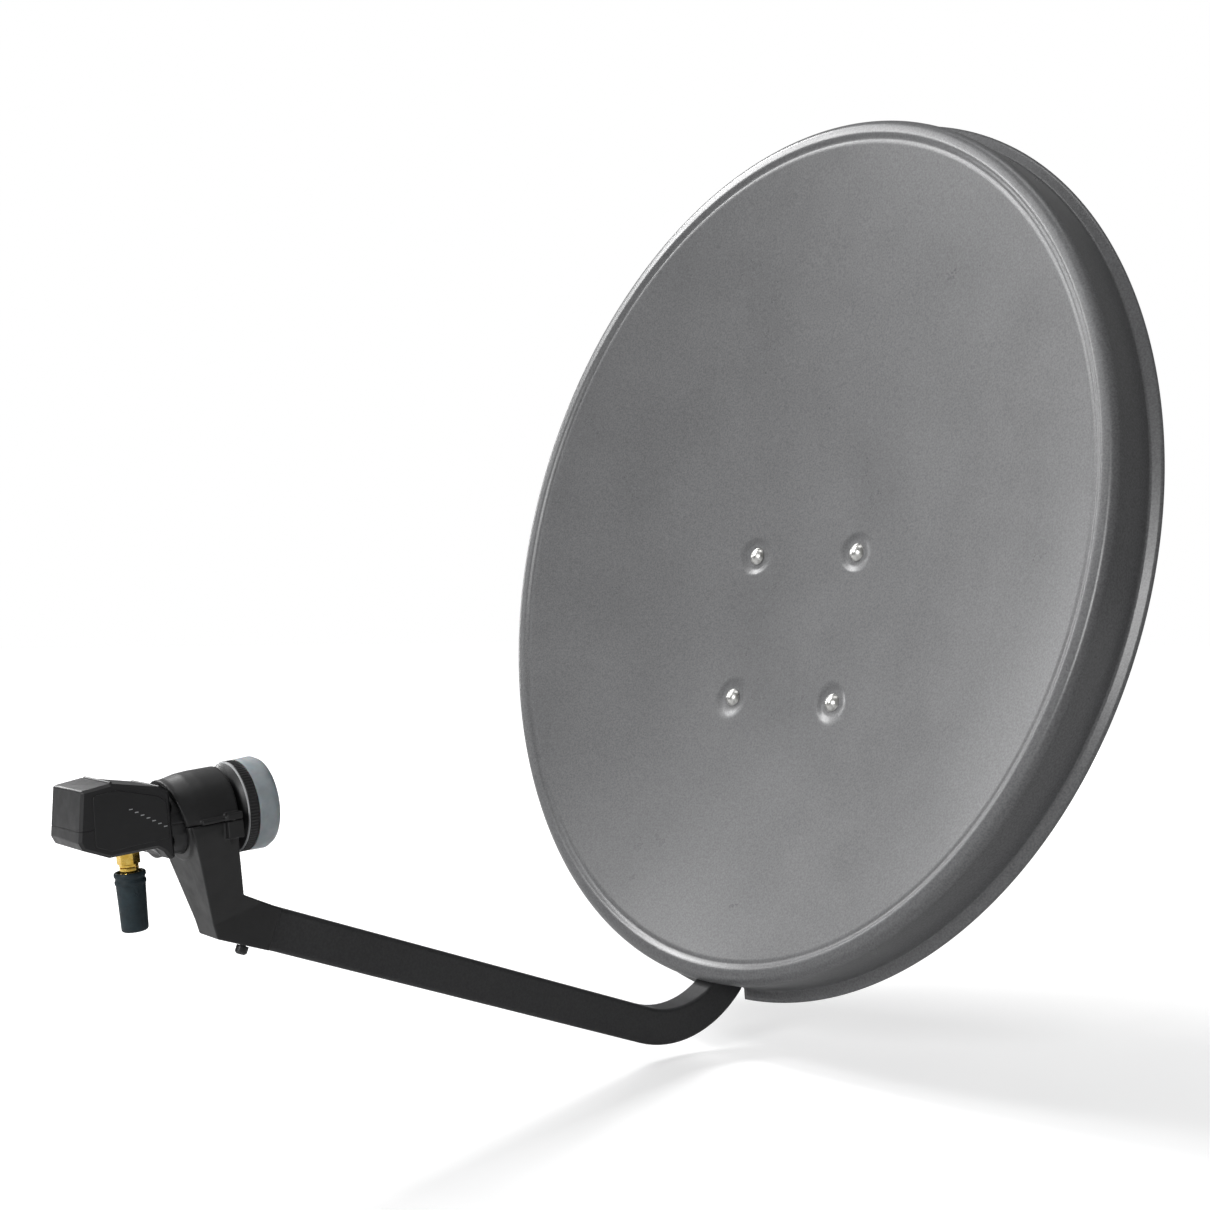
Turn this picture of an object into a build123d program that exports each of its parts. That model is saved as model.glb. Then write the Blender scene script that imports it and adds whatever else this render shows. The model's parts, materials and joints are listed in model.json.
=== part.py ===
from build123d import *
import math
import os

# Offset satellite dish on a mast bracket. Millimetres, +Z up.
# Origin: centre of the mast clamp, mast along Z. The dish looks along -Y.

# ---------------------------------------------------------------- driving dimensions
# Reflector: offset cut of a paraboloid
FOCAL_LENGTH = 385.0
APERTURE_RADIUS = 290.0
APERTURE_OFFSET = 367.0
SHEET = 1.0
DISH_TILT = 11.72

# Rim: groove, rolled bead, band and flange, as (offset from bead crest, depth behind it)
RIM_SECTION = [(-8.2, 6.6), (-6.4, 0.6), (6.2, 0.6), (7.8, 36.5), (16.4, 39.2)]
RIM_BENDS = [5.4, 5.4, 2.5]
SHELL_INSET = 7.2
NOTCH_HALF_WIDTH = 12.5
NOTCH_DEPTH = 5.5

# Reflector bolts, in the rim plane
BOLT_X = 52.0
BOLT_ROWS = [-1.2, -115.6]
M6 = 3.0
M8 = 4.0
PAD_RADIUS = 11.0
PAD_SLOPE_RADIUS = 14.0
PAD_SINK = 1.0

# Back bracket, behind the reflector
PLATE_FRONT = 54.0
PLATE_THICKNESS = 2.5
PLATE_HALF_WIDTH = 75.0
PLATE_TOP = 22.0
PLATE_BOTTOM = -138.0
CHEEK_X = 28.0
PIVOT_DEPTH = 120.0
PIVOT_UP = -30.0
LOCK_RADIUS = 60.0

# Mast bracket and clamp
PIVOT_FROM_MAST = 56.0
PIVOT_ABOVE_CLAMP = 28.0
MAST_RADIUS = 24.0
STEEL = 3.0
CLAMP_HALF_ANGLE = 56.0
JAW_HALF_ANGLE = 50.0
EAR_REACH = 54.0
SADDLE_HALF_HEIGHT = 52.0
JAW_HEIGHT = 34.0
JAW_BOLT_X = 44.0
JAW_BOLT_Z = 30.0
JAW_BOLT_END = 64.0
BRACKET_CHEEK_X = 31.0
ELEVATION_UP = 22.0
ELEVATION_DOWN = 16.0

# Feed arm: rectangular tube
TUBE_DEPTH = 25.0
TUBE_WIDTH = 20.0
TUBE_WALL = 1.2
TUBE_BEND = 79.5
ARM_LEAN = 11.5
ARM_FRONT = (-378.5, -314.25)
ARM_LOW = (-57.4, -360.0)
ARM_BACK = (38.2, -294.0)
ARM_REACH = 226.0
ARM_BOLTS_FROM_END = [18.0, 52.0]

# Feed: ring centre behind and below the rim's centre, ring axis pitched up to the dish.
# The holder's front face leans back more than the ring does.
RING_CENTRE = (-454.0, -170.3)
RING_PITCH = 6.0
RING_BORE = 20.05
RING_OUTER = 25.0
RING_BACK = 14.5
NECK_RADIUS = 20.0
HOLDER_CENTRE = (-455.0, -167.0)
HOLDER_PITCH = 18.5
RING_FACE = -16.5

RUNNING = 0.05

# Shared sums
RIM_HALF_WIDTH = APERTURE_RADIUS
PLATE_BACK = PLATE_FRONT + PLATE_THICKNESS
PIVOT = (-PIVOT_FROM_MAST, PIVOT_ABOVE_CLAMP)

# Arm channel and holder screw
CHANNEL_OUTER = TUBE_WIDTH / 2 + 2.6
SCREW_ALONG = 15.0

# Elevation hardware
BRACKET_SIDE = BRACKET_CHEEK_X + STEEL
LOCK_WASHER = 1.6
LOCK_GAP = 0.3

# Feed holder
HOLDER_SIDE = [
    (-15.2, 20.0),
    (-15.2, -72.7),
    (11.8, -93.0),
    (26.9, -73.1),
    (6.5, -54.7),
    (9.2, -26.0),
    (12.0, -10.0),
    (12.0, 20.0),
]
HOLDER_FRONT = [(-25.2, 30), (-25.2, -10), (-22.5, -24), (-12.4, -64), (-12.4, -100)]
LEDGE_INNER = 21.0
LEDGE_OUTER = 27.4
LEDGE_FRONT = -9.0
LEDGE_TOP = 0.0
LUG_OUTER = 29.0
LUG_FRONT = 5.0
LUG_BACK = 14.5
LUG_TOP = 1.6
LUG_DROP = -13.0
SEAM_UP = -2.6
SEAM_GAP = 0.3
RING_NOSE = 22.8
RING_TAPER = 14.0
CLAMP_SCREW_X = 25.6
CLAMP_SCREW_Y = 9.8

# Low-noise block
BOX_BACK = -76.0
BOX_FRONT = -23.6
BOX_HALF_WIDTH = 21.0
BOX_TOP_BACK = 28.6
BOX_BOTTOM = -11.0
SEAM_BACK = 5.0
NECK_BACK = 15.2
HORN_BACK = 26.5
HORN_RADIUS = 26.5
CAP_FRONT = 40.5
SHELL_WALL = 2.0
PORT_Y = -42.0
PORT_RADIUS = 4.75
PORT_END = -19.2
ALONG = (0, 1, 0)
BOX_OUTLINE = [
    (BOX_BACK + 2, -4.5),
    (BOX_BACK, 0),
    (BOX_BACK + 4, BOX_TOP_BACK - 1.5),
    (BOX_BACK + 20, BOX_TOP_BACK),
    (BOX_FRONT - 5, 22.0),
    (BOX_FRONT, 19.0),
    (BOX_FRONT, -18.3),
    (BOX_FRONT - 3.2, -18.3),
    (BOX_FRONT - 6, -13.6),
    (BOX_FRONT - 9.6, BOX_BOTTOM),
    (BOX_BACK + 16, BOX_BOTTOM),
]

# F connector and boot
NUT_TOP = -13.0
NUT_HEIGHT = 8.5
NUT_FLATS = 11.0
BARREL_RADIUS = 5.0
BARREL_END = -35.2
CABLE_HOLE = 3.6
BOOT_DROP = 13.0
BOOT_LENGTH = 33.0

# ---------------------------------------------------------------- derived places
BETA = math.atan(APERTURE_OFFSET / (2 * FOCAL_LENGTH))
RIM_HALF_HEIGHT = APERTURE_RADIUS / math.cos(BETA)
TILT = math.radians(DISH_TILT)


def upright(depth, up):
    """Depth and height in the rim frame, turned into upright axes."""
    return (
        depth * math.cos(TILT) + up * math.sin(TILT),
        up * math.cos(TILT) - depth * math.sin(TILT),
    )


PIVOT_OFFSET = upright(PIVOT_DEPTH, PIVOT_UP)
RIM_CENTRE = (PIVOT[0] - PIVOT_OFFSET[0], PIVOT[1] - PIVOT_OFFSET[1])
DISH = Pos(0, RIM_CENTRE[0], RIM_CENTRE[1]) * Rot(-DISH_TILT, 0, 0)
FEED = Pos(0, RIM_CENTRE[0] + RING_CENTRE[0], RIM_CENTRE[1] + RING_CENTRE[1]) * Rot(RING_PITCH, 0, 0)
HOLDER = Pos(0, RIM_CENTRE[0] + HOLDER_CENTRE[0], RIM_CENTRE[1] + HOLDER_CENTRE[1]) * Rot(HOLDER_PITCH, 0, 0)


def depth_at(x, up):
    """Depth of the reflecting surface behind the rim plane."""
    depth = 0.0
    slope = 4 * FOCAL_LENGTH * math.cos(BETA) + 2 * APERTURE_OFFSET * math.sin(BETA)
    for _ in range(6):
        span = slope + up * math.sin(2 * BETA) + depth * math.sin(BETA) ** 2
        depth = (APERTURE_RADIUS**2 - x**2 - (up * math.cos(BETA)) ** 2) / span
    return depth


# ---------------------------------------------------------------- helpers
def at(origin, direction):
    """Location whose Z axis lies along a direction."""
    across = (1, 0, 0) if abs(direction[0]) < 0.5 else (0, 0, 1)
    return Plane(origin=origin, x_dir=across, z_dir=direction).location


def turned(points, place):
    """Turned piece from a closed list of (radius, height) points."""
    outline = Polyline(*points, close=True)
    return place * revolve(Plane.XZ * make_face(outline), Axis.Z)


def bar(radius, start, end):
    """Round bar between two points."""
    span = Vector(*end) - Vector(*start)
    return Solid.make_cylinder(radius, span.length, Plane(origin=start, z_dir=span))


def block(low, high):
    """Box between two corners."""
    size = [b - a for a, b in zip(low, high)]
    middle = [(a + b) / 2 for a, b in zip(low, high)]
    return Pos(*middle) * Box(*size)


def side_plate(outline, x_from, x_to):
    """Plate with a (y, z) outline, between two x places."""
    face = Plane.YZ.offset(x_from) * make_face(Polyline(*outline, close=True))
    return extrude(face, amount=x_to - x_from)


def washer(radius, bore, thickness, place):
    """Flat washer."""
    return turned([(bore, 0), (radius, 0), (radius, thickness), (bore, thickness)], place)


def hex_nut(across_flats, bore, height, place):
    """Hexagon nut with chamfered top corners."""
    corner = across_flats / math.sqrt(3)
    prism = extrude(RegularPolygon(across_flats / 2, 6, major_radius=False), amount=height)
    base = [(0, 0), (corner + 1, 0), (corner + 1, height - 0.9)]
    cone = turned([*base, (corner - 0.9, height + 0.25), (0, height + 0.25)], Pos())
    return place * ((prism & cone) - Cylinder(bore, 4 * height))


def hex_bolt(across_flats, shank, head, length, place):
    """Hexagon bolt: head below the seat plane, shank above it."""
    top = Pos(0, 0, -head) * hex_nut(across_flats, 0.5, head, Pos())
    cap = Pos(0, 0, -head) * Solid.make_cylinder(1.0, head)
    return place * (top + cap + Solid.make_cylinder(shank, length))


def carriage_bolt(shank, head_radius, head_height, length, place):
    """Domed bolt: head below the seat plane, shank above it."""
    ball = (head_radius**2 + head_height**2) / (2 * head_height)
    dome = Pos(0, 0, ball - head_height) * Sphere(ball)
    dome = dome & (Pos(0, 0, -head_height) * Cylinder(head_radius, 2 * head_height))
    return place * (dome + Solid.make_cylinder(shank, length))


def save(name, *solids):
    """Write one node, a single solid or a group of like ones."""
    shape = solids[0] if len(solids) == 1 else Compound(children=list(solids))
    export_step(shape, f"parts/{name}.step")


# ---------------------------------------------------------------- reflector
def paraboloid_shell(thickness):
    """Skin behind the reflecting surface, wider than the aperture."""
    inner = APERTURE_OFFSET - APERTURE_RADIUS - 20
    outer = APERTURE_OFFSET + APERTURE_RADIUS + 20
    four_f = 4 * FOCAL_LENGTH
    drop = thickness / math.cos(BETA)
    low = inner**2 / four_f
    high = outer**2 / four_f
    control = ((inner + outer) / 2, inner * outer / four_f)
    front = Bezier((inner, low), control, (outer, high))
    back = Bezier((outer, high - drop), (control[0], control[1] - drop), (inner, low - drop))
    sides = [Line((outer, high), (outer, high - drop)), Line((inner, low - drop), (inner, low))]
    face = make_face([front, sides[0], back, sides[1]])
    axis_y = (0, math.sin(BETA), math.cos(BETA))
    axis_z = (0, -math.cos(BETA), math.sin(BETA))
    rim_height = (APERTURE_RADIUS**2 + APERTURE_OFFSET**2) / four_f
    apex = [-(APERTURE_OFFSET * a + rim_height * b) for a, b in zip(axis_y, axis_z)]
    place = Plane(origin=apex, x_dir=(1, 0, 0), z_dir=axis_z).location
    return place * revolve(Plane.XZ * face, Axis.Z)


def ellipse_prism(grow, depth_from, depth_to):
    """Prism on the bead-crest ellipse grown by an amount."""
    plane = Plane(origin=(0, depth_from, 0), x_dir=(1, 0, 0), z_dir=(0, 1, 0))
    outline = plane * Ellipse(RIM_HALF_WIDTH + grow, RIM_HALF_HEIGHT + grow)
    return extrude(outline, amount=depth_to - depth_from)


def rim_ring():
    """Pressed groove, bead, band and flange, swept round the rim ellipse."""
    spine = FilletPolyline(*RIM_SECTION, radius=RIM_BENDS)
    section = make_face(offset(spine, amount=SHEET / 2, side=Side.BOTH))
    plane = Plane(origin=(RIM_HALF_WIDTH, 0, 0), x_dir=(1, 0, 0), z_dir=(0, 0, 1))
    path = (Plane.XZ * Ellipse(RIM_HALF_WIDTH, RIM_HALF_HEIGHT)).wire()
    return sweep(plane * section, path=path)


def make_reflector():
    trim = ellipse_prism(-SHELL_INSET, -10, 70)
    skin = paraboloid_shell(SHEET) & trim
    thick = paraboloid_shell(12) & trim
    body = skin
    for row in BOLT_ROWS:
        for x in (-BOLT_X, BOLT_X):
            depth = depth_at(x, row)
            pad = turned(
                [
                    (0, -4),
                    (PAD_SLOPE_RADIUS + 2, -4),
                    (PAD_RADIUS + 2, PAD_SINK + SHEET),
                    (0, PAD_SINK + SHEET),
                ],
                at((x, depth, row), (0, 1, 0)),
            )
            pocket = turned(
                [(0, -5), (PAD_SLOPE_RADIUS + 5, -5), (PAD_RADIUS, PAD_SINK), (0, PAD_SINK)],
                at((x, depth, row), (0, 1, 0)),
            )
            hole = bar(M6 + 0.3, (x, 0, row), (x, 80, row))
            body = body + (pad & thick) - pocket - hole
    notch = block(
        (-NOTCH_HALF_WIDTH, NOTCH_DEPTH, -RIM_HALF_HEIGHT - 30), (NOTCH_HALF_WIDTH, 50, -RIM_HALF_HEIGHT + 3)
    )
    return DISH * (body + (rim_ring() - notch))


# ---------------------------------------------------------------- back of the dish
BOLT_SPOTS = [(x, row) for row in BOLT_ROWS for x in (-BOLT_X, BOLT_X)]


def pad_front(x, row):
    """Depth of the sunk pad that a reflector bolt sits on."""
    return depth_at(x, row) + PAD_SINK


def make_spacers():
    """Collars between the curved reflector and the flat bracket."""
    spacers = []
    for x, row in BOLT_SPOTS:
        back = pad_front(x, row) + SHEET + 0.02
        spacers.append(DISH * washer(9.0, M6 + 0.3, PLATE_FRONT - back, at((x, back, row), (0, 1, 0))))
    return spacers


def make_reflector_bolts():
    bolts = []
    for x, row in BOLT_SPOTS:
        front = pad_front(x, row)
        bolts.append(DISH * carriage_bolt(M6, 7.0, 3.8, 68.5 - front, at((x, front, row), (0, 1, 0))))
    return bolts


def on_plate_back(piece, lift):
    """Copies of a piece on the bracket's back face, at each reflector bolt."""
    return [DISH * at((x, PLATE_BACK + lift, row), (0, 1, 0)) * piece for x, row in BOLT_SPOTS]


def make_back_bracket():
    """Pressed base plate with two cheeks that carry the elevation pivot."""
    middle = (PLATE_TOP + PLATE_BOTTOM) / 2
    plane = Plane(origin=(0, PLATE_FRONT, middle), x_dir=(1, 0, 0), z_dir=(0, -1, 0))
    face = plane * RectangleRounded(2 * PLATE_HALF_WIDTH, PLATE_TOP - PLATE_BOTTOM, 14)
    body = extrude(face, amount=-PLATE_THICKNESS)
    lock_up = PIVOT_UP - LOCK_RADIUS
    cheek_outline = [
        (PLATE_BACK - 1, PLATE_TOP - 8),
        (PIVOT_DEPTH - 14, PIVOT_UP + 26),
        (PIVOT_DEPTH + 6, PIVOT_UP + 15),
        (PIVOT_DEPTH + 14, PIVOT_UP + 5),
        (PIVOT_DEPTH + 14, lock_up - 4),
        (PIVOT_DEPTH + 5, lock_up - 14),
        (PIVOT_DEPTH - 18, lock_up - 18),
        (PLATE_BACK - 1, PLATE_BOTTOM + 8),
    ]
    for side in (-1, 1):
        near = side * CHEEK_X
        body = body + side_plate(cheek_outline, near, near + side * PLATE_THICKNESS)
    window = Pos(0, PIVOT_DEPTH - 38, (PIVOT_UP + lock_up) / 2) * Rot(0, 90, 0) * Cylinder(15, 80)
    body = body - window
    body = body - bar(M8 + RUNNING, (-40, PIVOT_DEPTH, PIVOT_UP), (40, PIVOT_DEPTH, PIVOT_UP))
    body = body - bar(M8 + 0.1, (-40, PIVOT_DEPTH, lock_up), (40, PIVOT_DEPTH, lock_up))
    for x, row in BOLT_SPOTS:
        body = body - bar(M6 + 0.3, (x, 40, row), (x, 70, row))
    return DISH * body


def arm_path():
    """Centre line of the feed arm in the rim plane's frame: straight, bend, straight."""
    lean = math.radians(ARM_LEAN)
    fall = (ARM_LOW[1] - ARM_FRONT[1]) / (ARM_LOW[0] - ARM_FRONT[0])
    rise = math.cos(lean) / math.sin(lean)
    corner = (ARM_BACK[1] - ARM_LOW[1] + fall * ARM_LOW[0] - rise * ARM_BACK[0]) / (fall - rise)
    corner_up = ARM_LOW[1] + fall * (corner - ARM_LOW[0])
    top = (ARM_BACK[0] + ARM_REACH * math.sin(lean), ARM_BACK[1] + ARM_REACH * math.cos(lean))
    return FilletPolyline((0, *ARM_FRONT), (0, corner, corner_up), (0, *top), radius=TUBE_BEND)


ARM_PATH = arm_path()
ARM_TOP = ARM_PATH @ 1
ARM_UP = ARM_PATH % 1


def arm_bolt_point(x, from_end):
    """Point on a cross bolt's axis, in the rim plane's frame."""
    point = ARM_TOP - ARM_UP * from_end
    return (x, point.Y, point.Z)


def cross_holes(body, radius):
    """The arm bolts' holes through a piece."""
    for from_end in ARM_BOLTS_FROM_END:
        body = body - bar(radius, arm_bolt_point(-30, from_end), arm_bolt_point(30, from_end))
    return body


def arm_end_plane(x_dir=(1, 0, 0)):
    """Plane across the arm's upper end, its normal pointing out of the tube."""
    return Plane(origin=ARM_TOP, x_dir=x_dir, z_dir=ARM_UP)


def make_arm_channel():
    """Two side plates, welded to the base plate, that hold the arm tube."""
    inner = TUBE_WIDTH / 2 + 0.1
    half = TUBE_DEPTH / 2
    cross = Rectangle(2 * CHANNEL_OUTER, 2 * half + 40) - Rectangle(2 * inner, 2 * half + 60)
    body = arm_end_plane().location * Pos(0, 0, -66) * extrude(cross, amount=62)
    keep = block((-50, PLATE_BACK, -200), (50, 200, 0))
    strap = arm_end_plane().location * block((-50, -80, -100), (50, half + 3, 10))
    return DISH * cross_holes(body & keep & strap, M6 + 0.2)


def make_arm_tube():
    """Rectangular steel tube, bent once under the lip."""
    plane = Plane(origin=ARM_PATH @ 0, x_dir=(1, 0, 0), z_dir=ARM_PATH % 0)
    outer = RectangleRounded(TUBE_WIDTH, TUBE_DEPTH, 2.5)
    inner = RectangleRounded(TUBE_WIDTH - 2 * TUBE_WALL, TUBE_DEPTH - 2 * TUBE_WALL, 1.4)
    body = sweep(plane * outer, path=ARM_PATH) - sweep(plane * inner, path=ARM_PATH)
    body = cross_holes(body, M6 + 0.2)
    body = body - bar(2.2, socket_point(SCREW_ALONG, 0), socket_point(SCREW_ALONG, -30))
    return DISH * body


def socket_point(along, across):
    """Point in the rim plane's frame by distance along the arm from its front end."""
    direction = ARM_PATH % 0
    start = ARM_PATH @ 0
    normal = Vector(0, -direction.Z, direction.Y)
    point = start + direction * along + normal * across
    return (0, point.Y, point.Z)


def make_arm_end_cap():
    """Plastic plug in the upper end of the tube."""
    plug = RectangleRounded(TUBE_WIDTH - 2 * TUBE_WALL - 0.4, TUBE_DEPTH - 2 * TUBE_WALL - 0.4, 1.4)
    hollow = RectangleRounded(TUBE_WIDTH - 7, TUBE_DEPTH - 7, 1.0)
    lid = RectangleRounded(TUBE_WIDTH, TUBE_DEPTH, 2.5)
    body = extrude(plug, amount=-12) - Pos(0, 0, -3) * extrude(hollow, amount=-12) + extrude(lid, amount=2.5)
    return DISH * arm_end_plane().location * body


def make_arm_bolts():
    bolts = []
    for from_end in ARM_BOLTS_FROM_END:
        place = at(arm_bolt_point(CHANNEL_OUTER, from_end), (-1, 0, 0))
        bolts.append(DISH * hex_bolt(10, M6, 4, 32.5, place))
    return bolts


def make_arm_nuts():
    nuts = []
    for from_end in ARM_BOLTS_FROM_END:
        nuts.append(DISH * hex_nut(10, M6, 5, at(arm_bolt_point(-CHANNEL_OUTER, from_end), (-1, 0, 0))))
    return nuts


# ---------------------------------------------------------------- mast bracket
def swung(radius, degrees):
    """Point at an angle about the pivot; 0 is the locked rest position."""
    rest = math.atan2(-math.cos(TILT), -math.sin(TILT))
    angle = rest + math.radians(degrees)
    return (PIVOT[0] + radius * math.cos(angle), PIVOT[1] + radius * math.sin(angle))


def arc_band(radius, half_width, from_degrees, to_degrees, x_from, x_to):
    """Curved slot-shaped solid about the pivot."""
    arc = ThreePointArc(
        swung(radius, from_degrees),
        swung(radius, (from_degrees + to_degrees) / 2),
        swung(radius, to_degrees),
    )
    face = Plane.YZ.offset(x_from) * SlotArc(arc, 2 * half_width)
    return extrude(face, amount=x_to - x_from)


def clamp_sector(half_angle, height, facing):
    """Part-cylinder wall round the mast, on the side that facing points to."""
    ring = Cylinder(MAST_RADIUS + STEEL, height) - Cylinder(MAST_RADIUS, height + 2)
    reach = 60.0
    edge = reach * math.tan(math.radians(half_angle)) if half_angle < 89 else reach
    wedge = make_face(Polyline((0, 0), (edge, facing * reach), (-edge, facing * reach), close=True))
    return ring & (Pos(0, 0, -height) * extrude(wedge, amount=2 * height))


def clamp_ear(half_angle, height, facing, side):
    """Flat ear beside the part-cylinder wall."""
    depth = MAST_RADIUS * math.cos(math.radians(half_angle))
    start = MAST_RADIUS * math.sin(math.radians(half_angle))
    low = (side * start, facing * depth, -height / 2)
    high = (side * EAR_REACH, facing * (depth + STEEL), height / 2)
    return block([min(a, b) for a, b in zip(low, high)], [max(a, b) for a, b in zip(low, high)])


WEB_BACK = -MAST_RADIUS * math.cos(math.radians(CLAMP_HALF_ANGLE))
WEB_FRONT = WEB_BACK - STEEL
JAW_FRONT = MAST_RADIUS * math.cos(math.radians(JAW_HALF_ANGLE))
JAW_BACK = JAW_FRONT + STEEL


def make_mast_bracket():
    """Saddle plate on the mast with two cheeks that hold the pivot and the lock slots."""
    height = 2 * SADDLE_HALF_HEIGHT
    body = clamp_sector(CLAMP_HALF_ANGLE, height, -1)
    for side in (-1, 1):
        body = body + clamp_ear(CLAMP_HALF_ANGLE, height, -1, side)
    outline = [
        (WEB_FRONT + 1, 50),
        (PIVOT[0] - 4, 50),
        (PIVOT[0] - 18, 38),
        (PIVOT[0] - 18, 12),
        (PIVOT[0] - 49, -20),
        (PIVOT[0] - 49, -38),
        (PIVOT[0] - 30, -50),
        (WEB_FRONT + 1, -50),
    ]
    for side in (-1, 1):
        near = side * BRACKET_CHEEK_X
        cheek = side_plate(outline, near, near + side * STEEL)
        body = body + cheek
    slot = arc_band(LOCK_RADIUS, M8 + 0.4, -ELEVATION_UP - 2, ELEVATION_DOWN + 2, -50, 50)
    body = body - slot
    body = body - bar(M8 + RUNNING, (-50, *PIVOT), (50, *PIVOT))
    for x in (-JAW_BOLT_X, JAW_BOLT_X):
        for z in (-JAW_BOLT_Z, JAW_BOLT_Z):
            body = body - bar(M8 + 0.1, (x, -30, z), (x, 0, z))
    return body


def make_elevation_scale():
    """Tick plate along the lock slot, on the right cheek."""
    near = BRACKET_CHEEK_X + STEEL
    body = arc_band(LOCK_RADIUS + 16, 4.0, -ELEVATION_UP, ELEVATION_DOWN, near, near + 0.8)
    ticks = round(ELEVATION_UP + ELEVATION_DOWN) // 2
    for index in range(ticks + 1):
        degrees = -ELEVATION_UP + 2 * index
        reach = 3.2 if index % 5 == 1 else 2.0
        inner = swung(LOCK_RADIUS + 16 - reach, degrees)
        outer = swung(LOCK_RADIUS + 16 + reach, degrees)
        body = body - bar(0.25, (near + 0.8, *inner), (near + 0.8, *outer))
    return body


def make_jaw(sign):
    """Rear half of the mast clamp, upper or lower."""
    body = clamp_sector(JAW_HALF_ANGLE, JAW_HEIGHT, 1)
    for side in (-1, 1):
        body = body + clamp_ear(JAW_HALF_ANGLE, JAW_HEIGHT, 1, side)
        body = body - bar(M8 + 0.5, (side * JAW_BOLT_X, 0, 0), (side * JAW_BOLT_X, 40, 0))
    return Pos(0, 0, sign * JAW_BOLT_Z) * body


def make_jaw_bolts():
    bolts = []
    for z in (-JAW_BOLT_Z, JAW_BOLT_Z):
        for x in (-JAW_BOLT_X, JAW_BOLT_X):
            place = at((x, WEB_FRONT, z), (0, 1, 0))
            bolts.append(carriage_bolt(M8, 8.0, 4.5, JAW_BOLT_END - WEB_FRONT, place))
    return bolts


def make_jaw_nuts(sign):
    """Flanged hexagon nuts behind one jaw."""
    flange = washer(9.0, M8 + RUNNING, 1.6, Pos())
    nut = flange + Pos(0, 0, 1.6) * hex_nut(13, M8 + RUNNING, 6.4, Pos())
    return [at((x, JAW_BACK, sign * JAW_BOLT_Z), (0, 1, 0)) * nut for x in (-JAW_BOLT_X, JAW_BOLT_X)]


# ---------------------------------------------------------------- elevation hardware
LOCK = swung(LOCK_RADIUS, 0)


def make_pivot_bolt():
    seat = BRACKET_SIDE + LOCK_WASHER
    return hex_bolt(13, M8, 5.3, 2 * seat + 12, at((seat, *PIVOT), (-1, 0, 0)))


def make_pivot_washers():
    washers = []
    for side in (-1, 1):
        place = at((side * BRACKET_SIDE, *PIVOT), (side, 0, 0))
        washers.append(washer(8.5, M8 + 0.2, LOCK_WASHER, place))
    return washers


def make_pivot_nut():
    return hex_nut(13, M8, 8, at((-BRACKET_SIDE - LOCK_WASHER, *PIVOT), (-1, 0, 0)))


def make_lock_bolts():
    """Domed bolts from inside each cheek, out through the arc slots."""
    return [carriage_bolt(M8, 8.0, 4.0, 24.5, at((side * CHEEK_X, *LOCK), (side, 0, 0))) for side in (-1, 1)]


def make_lock_washers():
    place = BRACKET_SIDE + LOCK_GAP
    return [washer(9.0, M8 + 0.2, LOCK_WASHER, at((side * place, *LOCK), (side, 0, 0))) for side in (-1, 1)]


def make_wing_nut(side):
    """Wing nut with two raised wings."""
    hub = turned([(M8 + RUNNING, 0), (8, 0), (6.8, 8), (M8 + RUNNING, 8)], Pos())
    outline = [(5.5, 1.5), (9, 1.5), (16, 9), (16.5, 13), (14, 15), (11, 14), (6.5, 7.5)]
    wing = make_face(Polyline(*outline, close=True))
    blade = extrude(Plane.XZ.offset(-1.3) * wing, amount=2.6)
    body = hub + blade + Rot(0, 0, 180) * blade
    body = body - Cylinder(M8 + RUNNING, 60)
    place = BRACKET_SIDE + LOCK_GAP + LOCK_WASHER
    return at((side * (place + 0.3), *LOCK), (side, 0, 0)) * Rot(0, 0, 35) * body


# ---------------------------------------------------------------- feed holder


def on_side(side, low, high):
    """Box given for the right side, mirrored for the left."""
    xs = sorted((side * low[0], side * high[0]))
    return block((xs[0], low[1], low[2]), (xs[1], high[1], high[2]))


def ring_solid():
    """Clamp ring along the feed axis, its front cut parallel to the holder's face."""
    profile = [
        (0, -45),
        (RING_NOSE, -45),
        (RING_NOSE, RING_FACE - 1),
        (RING_OUTER - 0.5, RING_FACE + RING_TAPER / 2),
        (RING_OUTER, RING_FACE + RING_TAPER),
        (RING_OUTER, RING_BACK - 1.5),
        (RING_OUTER - 1.5, RING_BACK),
        (0, RING_BACK),
    ]
    ring = FEED * turned(profile, at((0, 0, 0), (0, 1, 0)))
    return ring - HOLDER * block((-60, -80, -60), (60, RING_FACE, 60))


def feed_bore():
    """Bore of the ring, with small lead-in chamfers at the back."""
    return FEED * bar(RING_BORE, (0, -60, 0), (0, 60, 0))


def make_lnb_holder():
    """Moulded holder: socket for the arm, and the lower half of the clamp ring."""
    profile = side_plate(HOLDER_SIDE, -40, 40)
    right = [(-x, z) for x, z in reversed(HOLDER_FRONT)]
    face = Plane.XZ.offset(60) * make_face(Polyline(*HOLDER_FRONT, *right, close=True))
    front = extrude(face, amount=-120)
    body = HOLDER * (profile & front) + ring_solid()
    for side in (-1, 1):
        lug = on_side(side, (LEDGE_INNER, LUG_FRONT, LUG_DROP), (LUG_OUTER, LUG_BACK, 0))
        screw = (side * CLAMP_SCREW_X, CLAMP_SCREW_Y)
        body = body + FEED * lug - FEED * bar(1.4, (*screw, -30), (*screw, 10))
        body = body - FEED * bar(2.9, (*screw, -30), (*screw, LUG_DROP + 3.5))
    body = body - feed_bore() - FEED * block((-60, -60, SEAM_UP - SEAM_GAP), (60, 60, 60))
    screw_hole = bar(1.9, socket_point(SCREW_ALONG, 0), socket_point(SCREW_ALONG, -30))
    return body - arm_pocket() - DISH * screw_hole


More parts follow.
